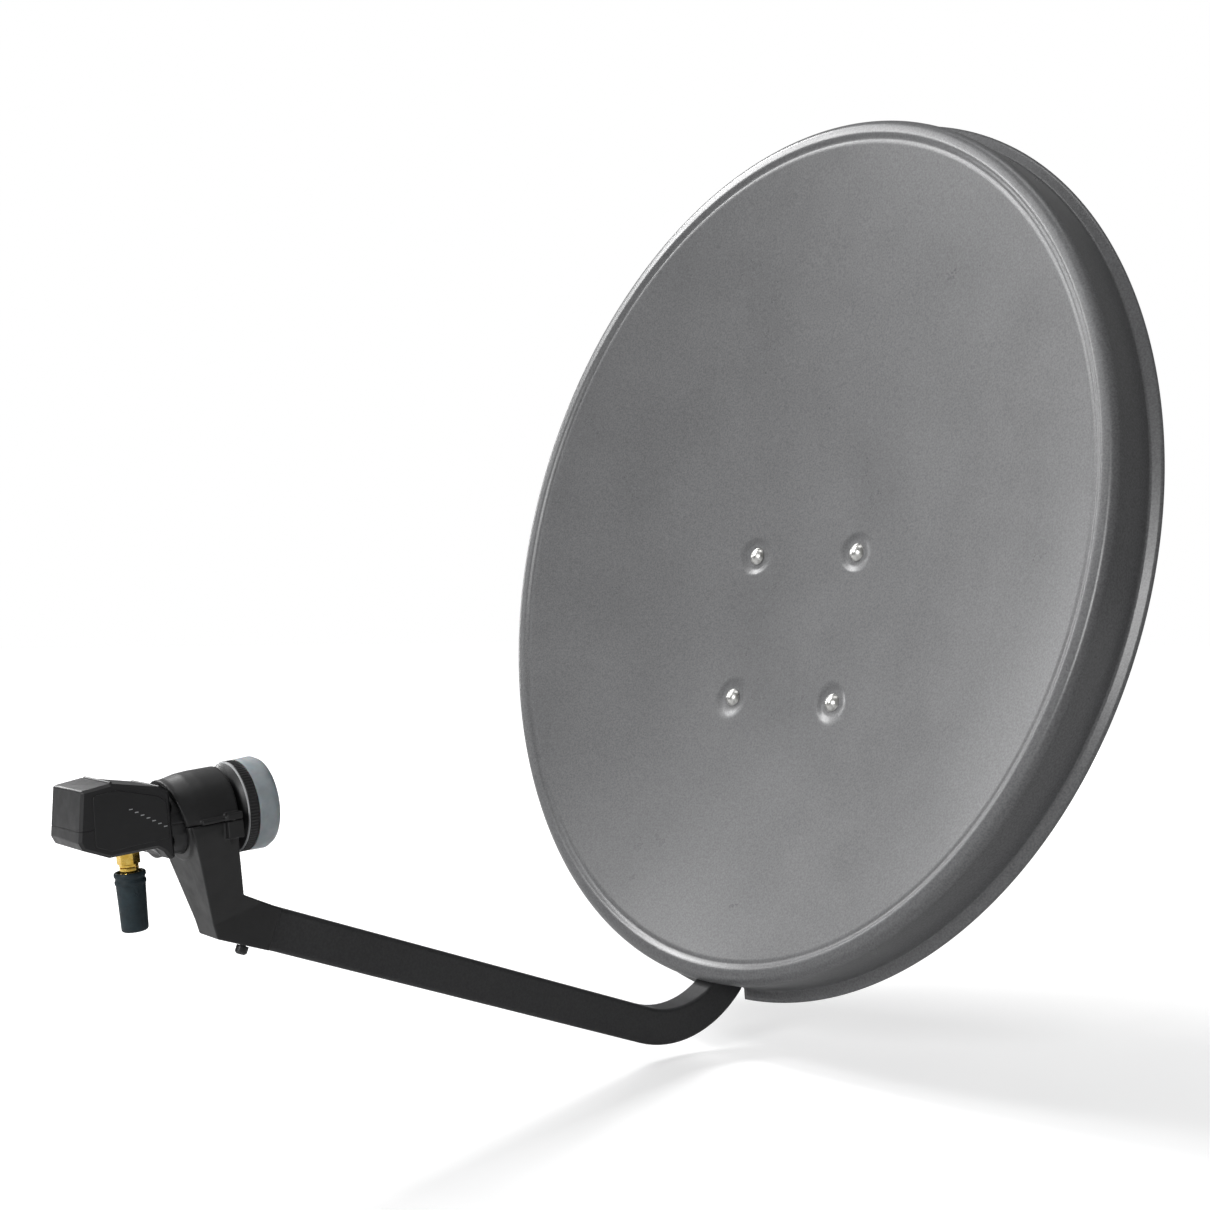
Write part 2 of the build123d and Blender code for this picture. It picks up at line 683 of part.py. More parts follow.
def arm_pocket():
    """Room for the end of the arm tube inside the holder."""
    plane = Plane(origin=ARM_PATH @ 0, x_dir=(1, 0, 0), z_dir=ARM_PATH % 0)
    face = plane * RectangleRounded(TUBE_WIDTH + 0.2, TUBE_DEPTH + 0.2, 2.6)
    return DISH * extrude(face, amount=80)


def make_clamp_cap():
    """Upper half of the clamp ring, with a ledge and a screw lug on each side."""
    body = ring_solid()
    for side in (-1, 1):
        ledge = on_side(side, (LEDGE_INNER, LEDGE_FRONT, SEAM_UP), (LEDGE_OUTER, LUG_FRONT + 1, LEDGE_TOP))
        lug = on_side(side, (LEDGE_INNER, LUG_FRONT, SEAM_UP), (LUG_OUTER, LUG_BACK, LUG_TOP))
        body = body + FEED * ledge + FEED * lug
    body = body - feed_bore() - FEED * block((-60, -60, -60), (60, 60, SEAM_UP))
    for side in (-1, 1):
        screw = (side * CLAMP_SCREW_X, CLAMP_SCREW_Y)
        body = body - FEED * bar(1.25, (*screw, SEAM_UP - 1), (*screw, LUG_TOP - 0.8))
    return body


def pan_screw(head_radius, shank, head_height, length, place):
    """Pan-head screw: head below the seat plane, shank above it."""
    crown = [(0, -head_height), (head_radius - 1.2, -head_height), (head_radius, -head_height + 1.2)]
    body = turned([*crown, (head_radius, 0), (shank, 0), (shank, length), (0, length)], Pos())
    slot = Pos(0, 0, -head_height) * Box(0.7, 2 * head_radius - 2.2, 1.4)
    cross = Rot(0, 0, 90) * slot
    return place * (body - slot - cross)


def make_clamp_screws():
    screws = []
    for side in (-1, 1):
        place = at((side * CLAMP_SCREW_X, CLAMP_SCREW_Y, LUG_DROP + 3.5), (0, 0, 1))
        screws.append(FEED * pan_screw(2.7, 1.2, 2.0, LUG_TOP - 1.2 - LUG_DROP - 3.5, place))
    return screws


def make_holder_screw():
    """Screw from below that fixes the holder to the arm."""
    seat = socket_point(SCREW_ALONG, -(TUBE_DEPTH / 2 + 1.3))
    start = socket_point(SCREW_ALONG, -20)
    direction = Vector(*socket_point(SCREW_ALONG, 0)) - Vector(*start)
    return DISH * pan_screw(3.6, 1.85, 5.0, 13, at(seat, tuple(direction)))


# ---------------------------------------------------------------- low-noise block


def shell_body(shrink):
    """Outer form of the housing: box, neck and horn flange, less a wall thickness."""
    box = side_plate(BOX_OUTLINE, -BOX_HALF_WIDTH, BOX_HALF_WIDTH)
    box = fillet(box.edges().filter_by(Axis.X), 1.6)
    box = chamfer(box.faces().filter_by(Axis.X).edges(), 1.5)
    if shrink > 0:
        middle = (0, (BOX_BACK + BOX_FRONT) / 2, (BOX_TOP_BACK + BOX_BOTTOM) / 2)
        size = (2 * BOX_HALF_WIDTH, BOX_FRONT - BOX_BACK, BOX_TOP_BACK - BOX_BOTTOM)
        factors = [1 - 2 * shrink / length for length in size]
        moved = Pos(*[-m for m in middle]) * box
        box = Pos(*middle) * scale(moved, by=tuple(factors))
    neck = bar(NECK_RADIUS - shrink * 1.5, (0, BOX_FRONT - 3, 0), (0, NECK_BACK + 6, 0))
    return box + neck


def seam_cutter():
    """Everything above the parting seam, which steps down at the neck."""
    seam = [(-90, SEAM_BACK + 1), (BOX_FRONT - 6, SEAM_BACK), (BOX_FRONT, 0), (60, 0)]
    return side_plate([*seam, (60, 60), (-90, 60)], -50, 50)


def make_lnb_shells():
    """Upper and lower housing shells."""
    hollow = shell_body(0) - shell_body(SHELL_WALL)
    hollow = hollow - block((-50, NECK_BACK, -50), (50, 50, 50))
    hollow = hollow - bar(PORT_RADIUS + 0.1, (0, PORT_Y, -40), (0, PORT_Y, 0))
    above = seam_cutter()
    gap = Pos(0, 0, -0.2) * seam_cutter()
    return FEED * (hollow & above), FEED * (hollow - gap)


def make_waveguide():
    """Cast metal tube that opens into the feed horn."""
    bore = 9.0
    points = [
        (bore, -20), (bore, 8), (21.0, 26), (21.0, HORN_BACK + 4), (23.2, HORN_BACK + 4), (23.2, 22),
        (15.4, NECK_BACK), (12.5, 8), (12.5, -16), (16.6, -16), (16.6, -20),
    ]
    return FEED * turned(points, at((0, 0, 0), ALONG))


def make_horn_flange():
    """Black collar between the neck and the clear cap."""
    points = [
        (15.5, NECK_BACK), (NECK_RADIUS, NECK_BACK),
        (HORN_RADIUS, NECK_BACK + 4.5), (HORN_RADIUS, HORN_BACK),
        (24.2, HORN_BACK), (24.2, HORN_BACK - 3), (23.3, HORN_BACK - 3), (23.3, 21.9),
    ]
    return FEED * turned(points, at((0, 0, 0), ALONG))


def make_feed_cap():
    """Translucent weather cap over the horn."""
    outer = [
        (HORN_RADIUS, HORN_BACK),
        (HORN_RADIUS + 0.4, CAP_FRONT - 4),
        (HORN_RADIUS - 1, CAP_FRONT - 1.2),
    ]
    inner = [(0, CAP_FRONT - 1.4), (22.5, CAP_FRONT - 1.4), (24.4, CAP_FRONT - 4), (24.4, HORN_BACK)]
    points = [*outer, (HORN_RADIUS - 4, CAP_FRONT), (0, CAP_FRONT), *inner]
    return FEED * turned(points, at((0, 0, 0), ALONG))


def make_cap_seal():
    """Rubber ring between horn and cap."""
    ring = Torus(23.75, 0.5)
    return FEED * (at((0, HORN_BACK + 2.0, 0), ALONG) * ring)


def make_circuit_board():
    board = block((-17, BOX_BACK + 8, 7.0), (17, BOX_FRONT - 4, 8.6))
    return FEED * board


def make_can():
    """Screening can over the circuit board."""
    can = block((-14, BOX_BACK + 12, 8.6), (14, BOX_FRONT - 10, 16))
    return FEED * (can - block((-13, BOX_BACK + 13, 8.0), (13, BOX_FRONT - 11, 15.2)))


def make_probes():
    """The two pickup pins behind the waveguide."""
    return [FEED * bar(0.6, (x, -21.5, 0), (x, -12, 0)) for x in (-4.5, 4.5)]


def make_f_port():
    """Threaded outlet on the underside of the box."""
    down = at((0, PORT_Y, -4.0), (0, 0, -1))
    length = -4.0 - PORT_END
    points = [(2.6, 0), (7.5, 0), (7.5, 3.0), (PORT_RADIUS, 3.0), (PORT_RADIUS, length - 0.6)]
    return FEED * turned([*points, (PORT_RADIUS - 0.6, length), (2.6, length)], down)


def make_port_insulator():
    down = at((0, PORT_Y, -4.0), (0, 0, -1))
    return FEED * turned([(0.5, 0.5), (2.6, 0.5), (2.6, -4.6 - PORT_END), (0.5, -4.6 - PORT_END)], down)


def make_port_contact():
    return FEED * bar(0.5, (0, PORT_Y, 7.0), (0, PORT_Y, PORT_END + 1.2))


# ---------------------------------------------------------------- F connector and boot


def down_from(height):
    """Location on the port axis, with Z pointing away from the housing."""
    return FEED * at((0, PORT_Y, height), (0, 0, -1))


def make_connector_nut():
    """Free-turning hexagon nut on the port thread."""
    hexagon = extrude(RegularPolygon(NUT_FLATS / 2, 6, major_radius=False), amount=NUT_HEIGHT - 1.5)
    collar = Pos(0, 0, NUT_HEIGHT - 1.5) * Solid.make_cylinder(5.2, 1.5)
    body = hexagon + collar - Solid.make_cylinder(PORT_RADIUS + RUNNING, NUT_HEIGHT - 1.5)
    body = body - Solid.make_cylinder(3.6 + RUNNING, 2 * NUT_HEIGHT)
    return down_from(NUT_TOP) * body


def make_connector_barrel():
    """Knurled cable barrel with the inner sleeve that the nut turns on."""
    top = NUT_HEIGHT + 0.3
    length = NUT_TOP - BARREL_END
    seat = NUT_TOP - PORT_END + 0.1
    shoulder = NUT_HEIGHT - 1.5 - RUNNING
    points = [
        (2.9, seat), (4.3, seat), (4.3, shoulder), (3.6, shoulder), (3.6, top), (5.2, top), (5.2, top + 2.4),
        (4.4, top + 2.4),
        (4.4, top + 3.2), (BARREL_RADIUS, top + 3.2), (BARREL_RADIUS, length), (CABLE_HOLE, length),
        (CABLE_HOLE, top + 4.0), (2.9, top + 4.0),
    ]
    return down_from(NUT_TOP) * turned(points, Pos())


def make_rubber_boot():
    """Weather boot, pulled part of the way back off the connector."""
    top = -11.3 - BOOT_DROP
    bore = 6.8
    points = [
        (bore, 0), (8.2, 0), (8.6, 0.8), (8.6, 2.4), (8.0, 3.0),
        (8.0, 4.2), (8.5, 4.8), (8.5, 6.4), (8.0, 7.0),
        (7.6, 20), (7.3, BOOT_LENGTH - 1), (6.6, BOOT_LENGTH), (CABLE_HOLE, BOOT_LENGTH),
        (CABLE_HOLE, BOOT_LENGTH - 7.5), (bore, BOOT_LENGTH - 8.5),
    ]
    return down_from(top) * turned(points, Pos())


# ---------------------------------------------------------------- write every node
os.makedirs("parts", exist_ok=True)
plain_washer = washer(6.2, M6 + 0.2, 1.2, Pos())
flange_nut = hex_nut(10, M6, 5, Pos())
top_shell, bottom_shell = make_lnb_shells()

save("reflector", make_reflector())
save("reflector_bolts", *make_reflector_bolts())
save("reflector_spacers", *make_spacers())
save("reflector_washers", *on_plate_back(plain_washer, 0))
save("reflector_nuts", *on_plate_back(flange_nut, 1.2))
save("back_bracket", make_back_bracket())
save("arm_channel", make_arm_channel())
save("arm_tube", make_arm_tube())
save("arm_end_cap", make_arm_end_cap())
save("arm_bolts", *make_arm_bolts())
save("arm_nuts", *make_arm_nuts())
save("mast_bracket", make_mast_bracket())
save("elevation_scale", make_elevation_scale())
save("mast_jaw_upper", make_jaw(1))
save("mast_jaw_lower", make_jaw(-1))
save("jaw_bolts", *make_jaw_bolts())
save("jaw_nuts_upper", *make_jaw_nuts(1))
save("jaw_nuts_lower", *make_jaw_nuts(-1))
save("pivot_bolt", make_pivot_bolt())
save("pivot_washers", *make_pivot_washers())
save("pivot_nut", make_pivot_nut())
save("lock_bolts", *make_lock_bolts())
save("lock_washers", *make_lock_washers())
save("wing_nut_left", make_wing_nut(-1))
save("wing_nut_right", make_wing_nut(1))
save("lnb_holder", make_lnb_holder())
save("clamp_cap", make_clamp_cap())
save("clamp_screws", *make_clamp_screws())
save("holder_screw", make_holder_screw())
save("lnb_top_shell", top_shell)
save("lnb_bottom_shell", bottom_shell)
save("waveguide", make_waveguide())
save("horn_flange", make_horn_flange())
save("feed_cap", make_feed_cap())
save("cap_seal", make_cap_seal())
save("circuit_board", make_circuit_board())
save("screening_can", make_can())
save("pickup_probes", *make_probes())
save("f_port", make_f_port())
save("port_insulator", make_port_insulator())
save("port_contact", make_port_contact())
save("connector_nut", make_connector_nut())
save("connector_barrel", make_connector_barrel())
save("rubber_boot", make_rubber_boot())
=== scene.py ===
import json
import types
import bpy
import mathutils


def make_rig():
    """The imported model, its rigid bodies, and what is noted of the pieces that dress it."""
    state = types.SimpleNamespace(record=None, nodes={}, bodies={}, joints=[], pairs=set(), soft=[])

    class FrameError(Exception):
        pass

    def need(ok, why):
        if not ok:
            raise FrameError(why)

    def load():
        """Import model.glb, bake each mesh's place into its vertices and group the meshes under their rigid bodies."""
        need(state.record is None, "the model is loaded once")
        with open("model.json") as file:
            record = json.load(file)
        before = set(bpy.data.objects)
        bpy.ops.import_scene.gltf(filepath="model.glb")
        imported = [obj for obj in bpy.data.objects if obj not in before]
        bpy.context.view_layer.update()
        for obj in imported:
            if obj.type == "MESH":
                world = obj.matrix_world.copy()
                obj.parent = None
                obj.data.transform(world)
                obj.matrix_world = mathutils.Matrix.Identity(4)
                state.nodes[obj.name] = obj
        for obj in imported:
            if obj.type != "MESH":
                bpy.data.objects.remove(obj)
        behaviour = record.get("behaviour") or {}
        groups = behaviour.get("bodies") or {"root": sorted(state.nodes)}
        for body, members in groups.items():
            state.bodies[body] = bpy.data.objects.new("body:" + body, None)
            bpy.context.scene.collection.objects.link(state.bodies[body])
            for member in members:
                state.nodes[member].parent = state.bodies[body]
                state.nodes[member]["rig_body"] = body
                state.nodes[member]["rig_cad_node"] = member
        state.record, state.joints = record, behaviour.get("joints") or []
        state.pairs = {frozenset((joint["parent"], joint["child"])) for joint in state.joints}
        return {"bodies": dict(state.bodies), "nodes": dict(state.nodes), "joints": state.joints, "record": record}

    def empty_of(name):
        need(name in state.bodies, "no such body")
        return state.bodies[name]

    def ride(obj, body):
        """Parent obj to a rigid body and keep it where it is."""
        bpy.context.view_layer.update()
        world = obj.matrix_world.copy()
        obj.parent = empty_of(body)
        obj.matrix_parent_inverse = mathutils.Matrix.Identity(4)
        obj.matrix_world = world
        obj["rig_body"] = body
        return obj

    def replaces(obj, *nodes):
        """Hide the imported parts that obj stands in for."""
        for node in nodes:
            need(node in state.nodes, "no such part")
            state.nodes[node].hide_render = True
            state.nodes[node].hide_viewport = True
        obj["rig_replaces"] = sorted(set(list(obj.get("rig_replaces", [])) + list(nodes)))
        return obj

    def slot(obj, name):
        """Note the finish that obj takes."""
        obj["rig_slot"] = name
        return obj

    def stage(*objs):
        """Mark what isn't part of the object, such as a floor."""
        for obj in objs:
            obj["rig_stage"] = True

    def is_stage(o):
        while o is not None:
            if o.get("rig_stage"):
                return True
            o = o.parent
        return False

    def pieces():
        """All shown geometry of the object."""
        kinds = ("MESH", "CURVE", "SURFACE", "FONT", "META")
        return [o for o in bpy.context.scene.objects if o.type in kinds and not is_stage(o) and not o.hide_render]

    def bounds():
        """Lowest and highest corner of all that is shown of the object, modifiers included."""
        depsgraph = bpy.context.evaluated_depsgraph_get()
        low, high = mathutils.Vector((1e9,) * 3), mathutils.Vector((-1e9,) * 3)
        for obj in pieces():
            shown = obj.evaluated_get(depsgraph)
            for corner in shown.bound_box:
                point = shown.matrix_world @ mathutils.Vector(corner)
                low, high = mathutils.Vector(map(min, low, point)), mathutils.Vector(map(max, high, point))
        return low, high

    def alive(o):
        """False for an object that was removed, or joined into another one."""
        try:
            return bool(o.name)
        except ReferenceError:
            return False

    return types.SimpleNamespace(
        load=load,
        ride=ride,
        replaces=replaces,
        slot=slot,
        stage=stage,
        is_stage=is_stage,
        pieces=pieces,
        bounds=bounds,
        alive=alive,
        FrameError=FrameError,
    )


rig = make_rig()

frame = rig.load()

import json
import math

import bpy
import bmesh
from mathutils import Matrix, Vector

CAD_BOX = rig.bounds()
MM = 0.001
NODES = frame["nodes"]
SUBPARTS = {part["node"]: part["material_slot"] for part in frame["record"]["subparts"]}
BODY_OF = {node: name for name, nodes in frame["record"]["behaviour"]["bodies"].items() for node in nodes}

# ---------------------------------------------------------------- frame of the object
JOINTS = {joint["name"]: joint for joint in frame["joints"]}
PIVOT = Vector(JOINTS["elevation_tilt"]["pos_m"])
RING = Vector(JOINTS["lnb_skew"]["pos_m"])
RING_AXIS = Vector(JOINTS["lnb_skew"]["axis"]).normalized()

DISH_TILT = math.radians(11.72)
RIM_FROM_PIVOT = Vector((0, -120.0, 30.0)) * MM
DISH = (
    Matrix.Translation(PIVOT)
    @ Matrix.Rotation(-DISH_TILT, 4, "X")
    @ Matrix.Translation(RIM_FROM_PIVOT)
)
RING_PITCH = math.atan2(RING_AXIS.z, RING_AXIS.y)
FEED = Matrix.Translation(RING) @ Matrix.Rotation(RING_PITCH, 4, "X")
ALONG_Y = Matrix.Rotation(-math.pi / 2, 4, "X")

# Reflector: offset cut of a paraboloid, in millimetres
FOCAL_LENGTH = 385.0
APERTURE_RADIUS = 290.0
APERTURE_OFFSET = 367.0
BETA = math.atan(APERTURE_OFFSET / (2 * FOCAL_LENGTH))
HALF_WIDTH = APERTURE_RADIUS
HALF_HEIGHT = APERTURE_RADIUS / math.cos(BETA)
SHEET = 1.0
RIM_SECTION = [(-8.2, 6.6), (-6.4, 0.6), (6.2, 0.6), (7.8, 36.5), (16.4, 39.2)]
RIM_BENDS = [5.4, 5.4, 2.5]
RIM_STEP = 2.5
NOTCH_HALF_WIDTH = 12.5
NOTCH_DEPTH = 5.5
BOLT_SPOTS = [(x, row) for x in (-52.0, 52.0) for row in (-1.2, -115.6)]
PAD_RADIUS = 10.0
PAD_SLOPE_RADIUS = 15.5
PAD_SINK = 1.0

# Feed housing, in the ring's frame, in millimetres
BOX_BACK = -76.0
BOX_FRONT = -23.6
BOX_HALF_WIDTH = 21.0
BOX_TOP = 28.6
BOX_BOTTOM = -11.0
NECK_RADIUS = 20.0
NECK_BACK = 15.2
HORN_RADIUS = 26.5
HORN_BACK = 26.5
PORT_Y = -42.0
PORT_RADIUS = 4.75
PORT_START = -7.0
PORT_END = -19.2
PORT_PITCH = 0.95

# ---------------------------------------------------------------- camera, light, floor
CAMERA_FROM_RIM = Vector((837.99, -848.24, -58.37)) * MM
CAMERA_YAW = math.radians(50.32)
CAMERA_PITCH = math.radians(0.40)
CAMERA_LENS = 47.04
CAMERA_SENSOR = 36.0
CAMERA_CLIP = 0.01
WHITE = (1, 1, 1, 1)
SEEN_BACKGROUND = 1.0
LIT_BACKGROUND = 0.2
# name, place, target, size, power in watts, and whether reflections show it
LAMPS = [
    ("key", (-1.6, -1.35, 1.4), (0.0, -0.15, 0.0), (0.6, 0.6), 24, True),
    ("high_left", (-1.8, -0.75, 1.9), (0.05, -0.15, 0.0), (0.6, 0.6), 36, True),
    ("left", (-2.4, -0.55, 0.55), (0.1, -0.15, 0.15), (0.4, 0.9), 12, True),
    ("front", (0.5, -3.0, 0.9), (0, -0.2, 0.1), (0.8, 0.8), 34, True),
    ("top", (0.1, -0.6, 2.5), (0, -0.2, 0.1), (1.2, 0.8), 8, True),
    ("back", (-0.8, 2.4, 1.3), (0, 0, 0.1), (1.6, 1.2), 48, False),
]
FLOOR_DROP = 0.012
FLOOR_REACH = 14.0


def make_camera():
    """Camera placed from the centre of the rim."""
    data = bpy.data.cameras.new("camera")
    data.lens = CAMERA_LENS
    data.sensor_width = CAMERA_SENSOR
    data.clip_start = CAMERA_CLIP
    camera = bpy.data.objects.new("camera", data)
    camera.location = DISH.translation + CAMERA_FROM_RIM
    camera.rotation_euler = (math.pi / 2 + CAMERA_PITCH, 0, CAMERA_YAW)
    bpy.context.scene.collection.objects.link(camera)
    bpy.context.scene.camera = camera


def area_light(name, place, target, size, power, glossy):
    """Soft rectangular light that points at a target."""
    data = bpy.data.lights.new(name, "AREA")
    data.shape = "RECTANGLE"
    data.size, data.size_y = size
    data.energy = power
    light = bpy.data.objects.new(name, data)
    light.location = place
    light.visible_glossy = glossy
    light.rotation_euler = (Vector(target) - Vector(place)).to_track_quat("-Z", "Y").to_euler()
    bpy.context.scene.collection.objects.link(light)


def make_studio():
    """White surroundings for the camera, dimmer ones for the light they give, and soft lamps."""
    world = bpy.data.worlds.new("studio")
    world.use_nodes = True
    tree = world.node_tree
    seen = tree.nodes["Background"]
    seen.inputs["Color"].default_value = WHITE
    seen.inputs["Strength"].default_value = SEEN_BACKGROUND
    given = tree.nodes.new("ShaderNodeBackground")
    given.inputs["Color"].default_value = WHITE
    given.inputs["Strength"].default_value = LIT_BACKGROUND
    path = tree.nodes.new("ShaderNodeLightPath")
    mix = tree.nodes.new("ShaderNodeMixShader")
    tree.links.new(path.outputs["Is Camera Ray"], mix.inputs["Fac"])
    tree.links.new(given.outputs["Background"], mix.inputs[1])
    tree.links.new(seen.outputs["Background"], mix.inputs[2])
    tree.links.new(mix.outputs["Shader"], tree.nodes["World Output"].inputs["Surface"])
    bpy.context.scene.world = world
    bpy.context.scene.view_settings.view_transform = "Standard"
    for lamp in LAMPS:
        area_light(*lamp)


def make_floor():
    """Large square sheet a little under the object."""
    low = CAD_BOX[0][2] - FLOOR_DROP
    mesh = bpy.data.meshes.new("floor")
    corners = [(x, y, low) for x, y in ((-1, -1), (1, -1), (1, 1), (-1, 1))]
    mesh.from_pydata([(x * FLOOR_REACH, y * FLOOR_REACH, z) for x, y, z in corners], [], [(0, 1, 2, 3)])
    floor = bpy.data.objects.new("floor", mesh)
    bpy.context.scene.collection.objects.link(floor)
    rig.stage(floor)
    floor.data.materials.append(floor_material())


# ---------------------------------------------------------------- material helpers
class Recipe:
    """A principled material with its texture nodes."""

    def __init__(self, name):
        self.material = bpy.data.materials.new(name)
        self.material.use_nodes = True
        self.tree = self.material.node_tree
        self.shader = self.tree.nodes["Principled BSDF"]
        self.space = self.tree.nodes.new("ShaderNodeTexCoord")
        self.normal = None

    def set(self, **values):
        """Set plain values on the shader's own sockets."""
        for key, value in values.items():
            self.shader.inputs[key.replace("_", " ")].default_value = value

    def node(self, kind, **settings):
        """New shader node with its settings."""
        made = self.tree.nodes.new("ShaderNode" + kind)
        for key, value in settings.items():
            setattr(made, key, value)
        return made

    def link(self, source, target):
        self.tree.links.new(source, target)

    def stretched(self, stretch):
        """Object coordinates, scaled per axis."""
        mapping = self.node("Mapping")
        mapping.inputs["Scale"].default_value = stretch
        self.link(self.space.outputs["Object"], mapping.inputs["Vector"])
        return mapping.outputs["Vector"]

    def noise(self, size_mm, detail=3.0, rough=0.55, stretch=None):
        """Noise with features of about one size."""
        noise = self.node("TexNoise")
        noise.inputs["Scale"].default_value = 1000.0 / size_mm
        noise.inputs["Detail"].default_value = detail
        noise.inputs["Roughness"].default_value = rough
        source = self.stretched(stretch) if stretch else self.space.outputs["Object"]
        self.link(source, noise.inputs["Vector"])
        return noise.outputs["Fac"]

    def cells(self, size_mm, feature="F1"):
        """Voronoi cells of about one size."""
        voronoi = self.node("TexVoronoi", feature=feature)
        voronoi.inputs["Scale"].default_value = 1000.0 / size_mm
        self.link(self.space.outputs["Object"], voronoi.inputs["Vector"])
        return voronoi

    def ranged(self, source, low, high, from_low=0.3, from_high=0.7):
        """Map a texture to a range of values."""
        mapped = self.node("MapRange")
        mapped.inputs["From Min"].default_value = from_low
        mapped.inputs["From Max"].default_value = from_high
        mapped.inputs["To Min"].default_value = low
        mapped.inputs["To Max"].default_value = high
        self.link(source, mapped.inputs["Value"])
        return mapped.outputs["Result"]

    def colours(self, source, first, second, start=0.35, end=0.65):
        """Colour ramp between two colours."""
        ramp = self.node("ValToRGB")
        ramp.color_ramp.elements[0].color = (*first, 1)
        ramp.color_ramp.elements[0].position = start
        ramp.color_ramp.elements[1].color = (*second, 1)
        ramp.color_ramp.elements[1].position = end
        self.link(source, ramp.inputs["Fac"])
        return ramp.outputs["Color"]

    def mixed(self, amount, first, second):
        """Mix of two colour sockets."""
        mix = self.node("Mix", data_type="RGBA", blend_type="MIX")
        mix.inputs["Factor"].default_value = amount
        self.link(first, mix.inputs[6])
        self.link(second, mix.inputs[7])
        return mix.outputs[2]

    def bump(self, height, depth_mm, strength):
        """Add a layer of bump on top of the earlier ones."""
        bump = self.node("Bump")
        bump.inputs["Distance"].default_value = depth_mm * MM
        bump.inputs["Strength"].default_value = strength
        self.link(height, bump.inputs["Height"])
        if self.normal is not None:
            self.link(self.normal, bump.inputs["Normal"])
        self.normal = bump.outputs["Normal"]

    def done(self, colour, roughness):
        """Connect the colour, the roughness and the layers of bump."""
        self.link(colour, self.shader.inputs["Base Color"])
        self.link(roughness, self.shader.inputs["Roughness"])
        if self.normal is not None:
            self.link(self.normal, self.shader.inputs["Normal"])
        return self.material


def shades(colour, spread):
    """A darker and a lighter version of one colour."""
    return [c * (1 - spread) for c in colour], [min(1.0, c * (1 + spread)) for c in colour]


def floor_material():
    """Pale studio paper that glows a little more with distance, so it meets the background."""
    recipe = Recipe("floor_paper")
    colour = recipe.colours(recipe.noise(240), (0.56, 0.56, 0.565), (0.6, 0.6, 0.6))
    reach = recipe.node("VectorMath", operation="LENGTH")
    recipe.link(recipe.space.outputs["Object"], reach.inputs[0])
    glow = recipe.ranged(reach.outputs["Value"], 0.5, 0.95, 0.5, 4.0)
    seen = recipe.node("Math", operation="MULTIPLY")
    recipe.link(glow, seen.inputs[0])
    recipe.link(recipe.node("LightPath").outputs["Is Camera Ray"], seen.inputs[1])
    recipe.set(Emission_Color=WHITE, Specular_IOR_Level=0.1)
    recipe.link(seen.outputs["Value"], recipe.shader.inputs["Emission Strength"])
    return recipe.done(colour, recipe.ranged(recipe.noise(60), 0.75, 0.9))


def coat_material(name, colour, roughness, speckle, peel_mm, spread=0.08):
    """Powder coat: fine metallic speckle, orange peel, and soft blotches of roughness."""
    recipe = Recipe(name)
    dark, light = shades(colour, spread)
    base = recipe.colours(recipe.noise(45, 4.0), dark, light)
    fleck_dark, fleck_light = shades(colour, speckle)
    fleck = recipe.colours(recipe.noise(1.3, 1.0, 0.5), fleck_dark, fleck_light, 0.3, 0.7)
    shade = recipe.mixed(0.5, base, fleck)
    smear = recipe.ranged(recipe.noise(70, 5.0, 0.6), roughness - 0.035, roughness + 0.045)
    recipe.bump(recipe.noise(2.2, 1.0), peel_mm, 0.35)
    recipe.set(Specular_IOR_Level=0.5)
    return recipe.done(shade, smear)


def moulded_material(name, colour, roughness, grain_mm=0.5, depth_mm=0.02, spread=0.1):
    """Moulded plastic: spark-eroded grain with handling marks."""
    recipe = Recipe(name)
    dark, light = shades(colour, spread)
    base = recipe.colours(recipe.noise(14, 4.0), dark, light)
    mark_dark, mark_light = shades(colour, 2.2 * spread)
    marks = recipe.colours(recipe.noise(2.5, 5.0, 0.7, (1, 1, 4)), mark_dark, mark_light)
    recipe.bump(recipe.cells(grain_mm, "SMOOTH_F1").outputs["Distance"], depth_mm, 0.5)
    recipe.bump(recipe.noise(6, 2.0), 0.04, 0.3)
    rough = recipe.ranged(recipe.noise(9, 5.0, 0.65), roughness - 0.06, roughness + 0.08)
    return recipe.done(recipe.mixed(0.35, base, marks), rough)


def zinc_material():
    """Bright zinc plate: faint crystals, dull patches and fine turning lines."""
    recipe = Recipe("zinc_steel")
    crystals = recipe.cells(1.6)
    tint = recipe.colours(crystals.outputs["Distance"], (0.5, 0.5, 0.48), (0.68, 0.68, 0.66), 0.1, 0.9)
    stain = recipe.colours(recipe.noise(5, 5.0, 0.7), (0.42, 0.41, 0.38), (0.7, 0.7, 0.69), 0.3, 0.62)
    recipe.bump(recipe.noise(0.35, 3.0, 0.6, (1, 1, 6)), 0.015, 0.5)
    recipe.set(Metallic=1.0)
    return recipe.done(recipe.mixed(0.45, tint, stain), recipe.ranged(recipe.noise(3, 5.0), 0.24, 0.42))


def black_steel_material():
    """Blackened steel, patchy in colour and gloss."""
    recipe = Recipe("black_steel")
    colour = recipe.colours(recipe.noise(2, 5.0), (0.022, 0.022, 0.023), (0.05, 0.05, 0.052))
    recipe.bump(recipe.noise(0.5, 3.0), 0.02, 0.5)
    recipe.set(Metallic=0.3)
    return recipe.done(colour, recipe.ranged(recipe.noise(2.5, 4.0), 0.34, 0.5))


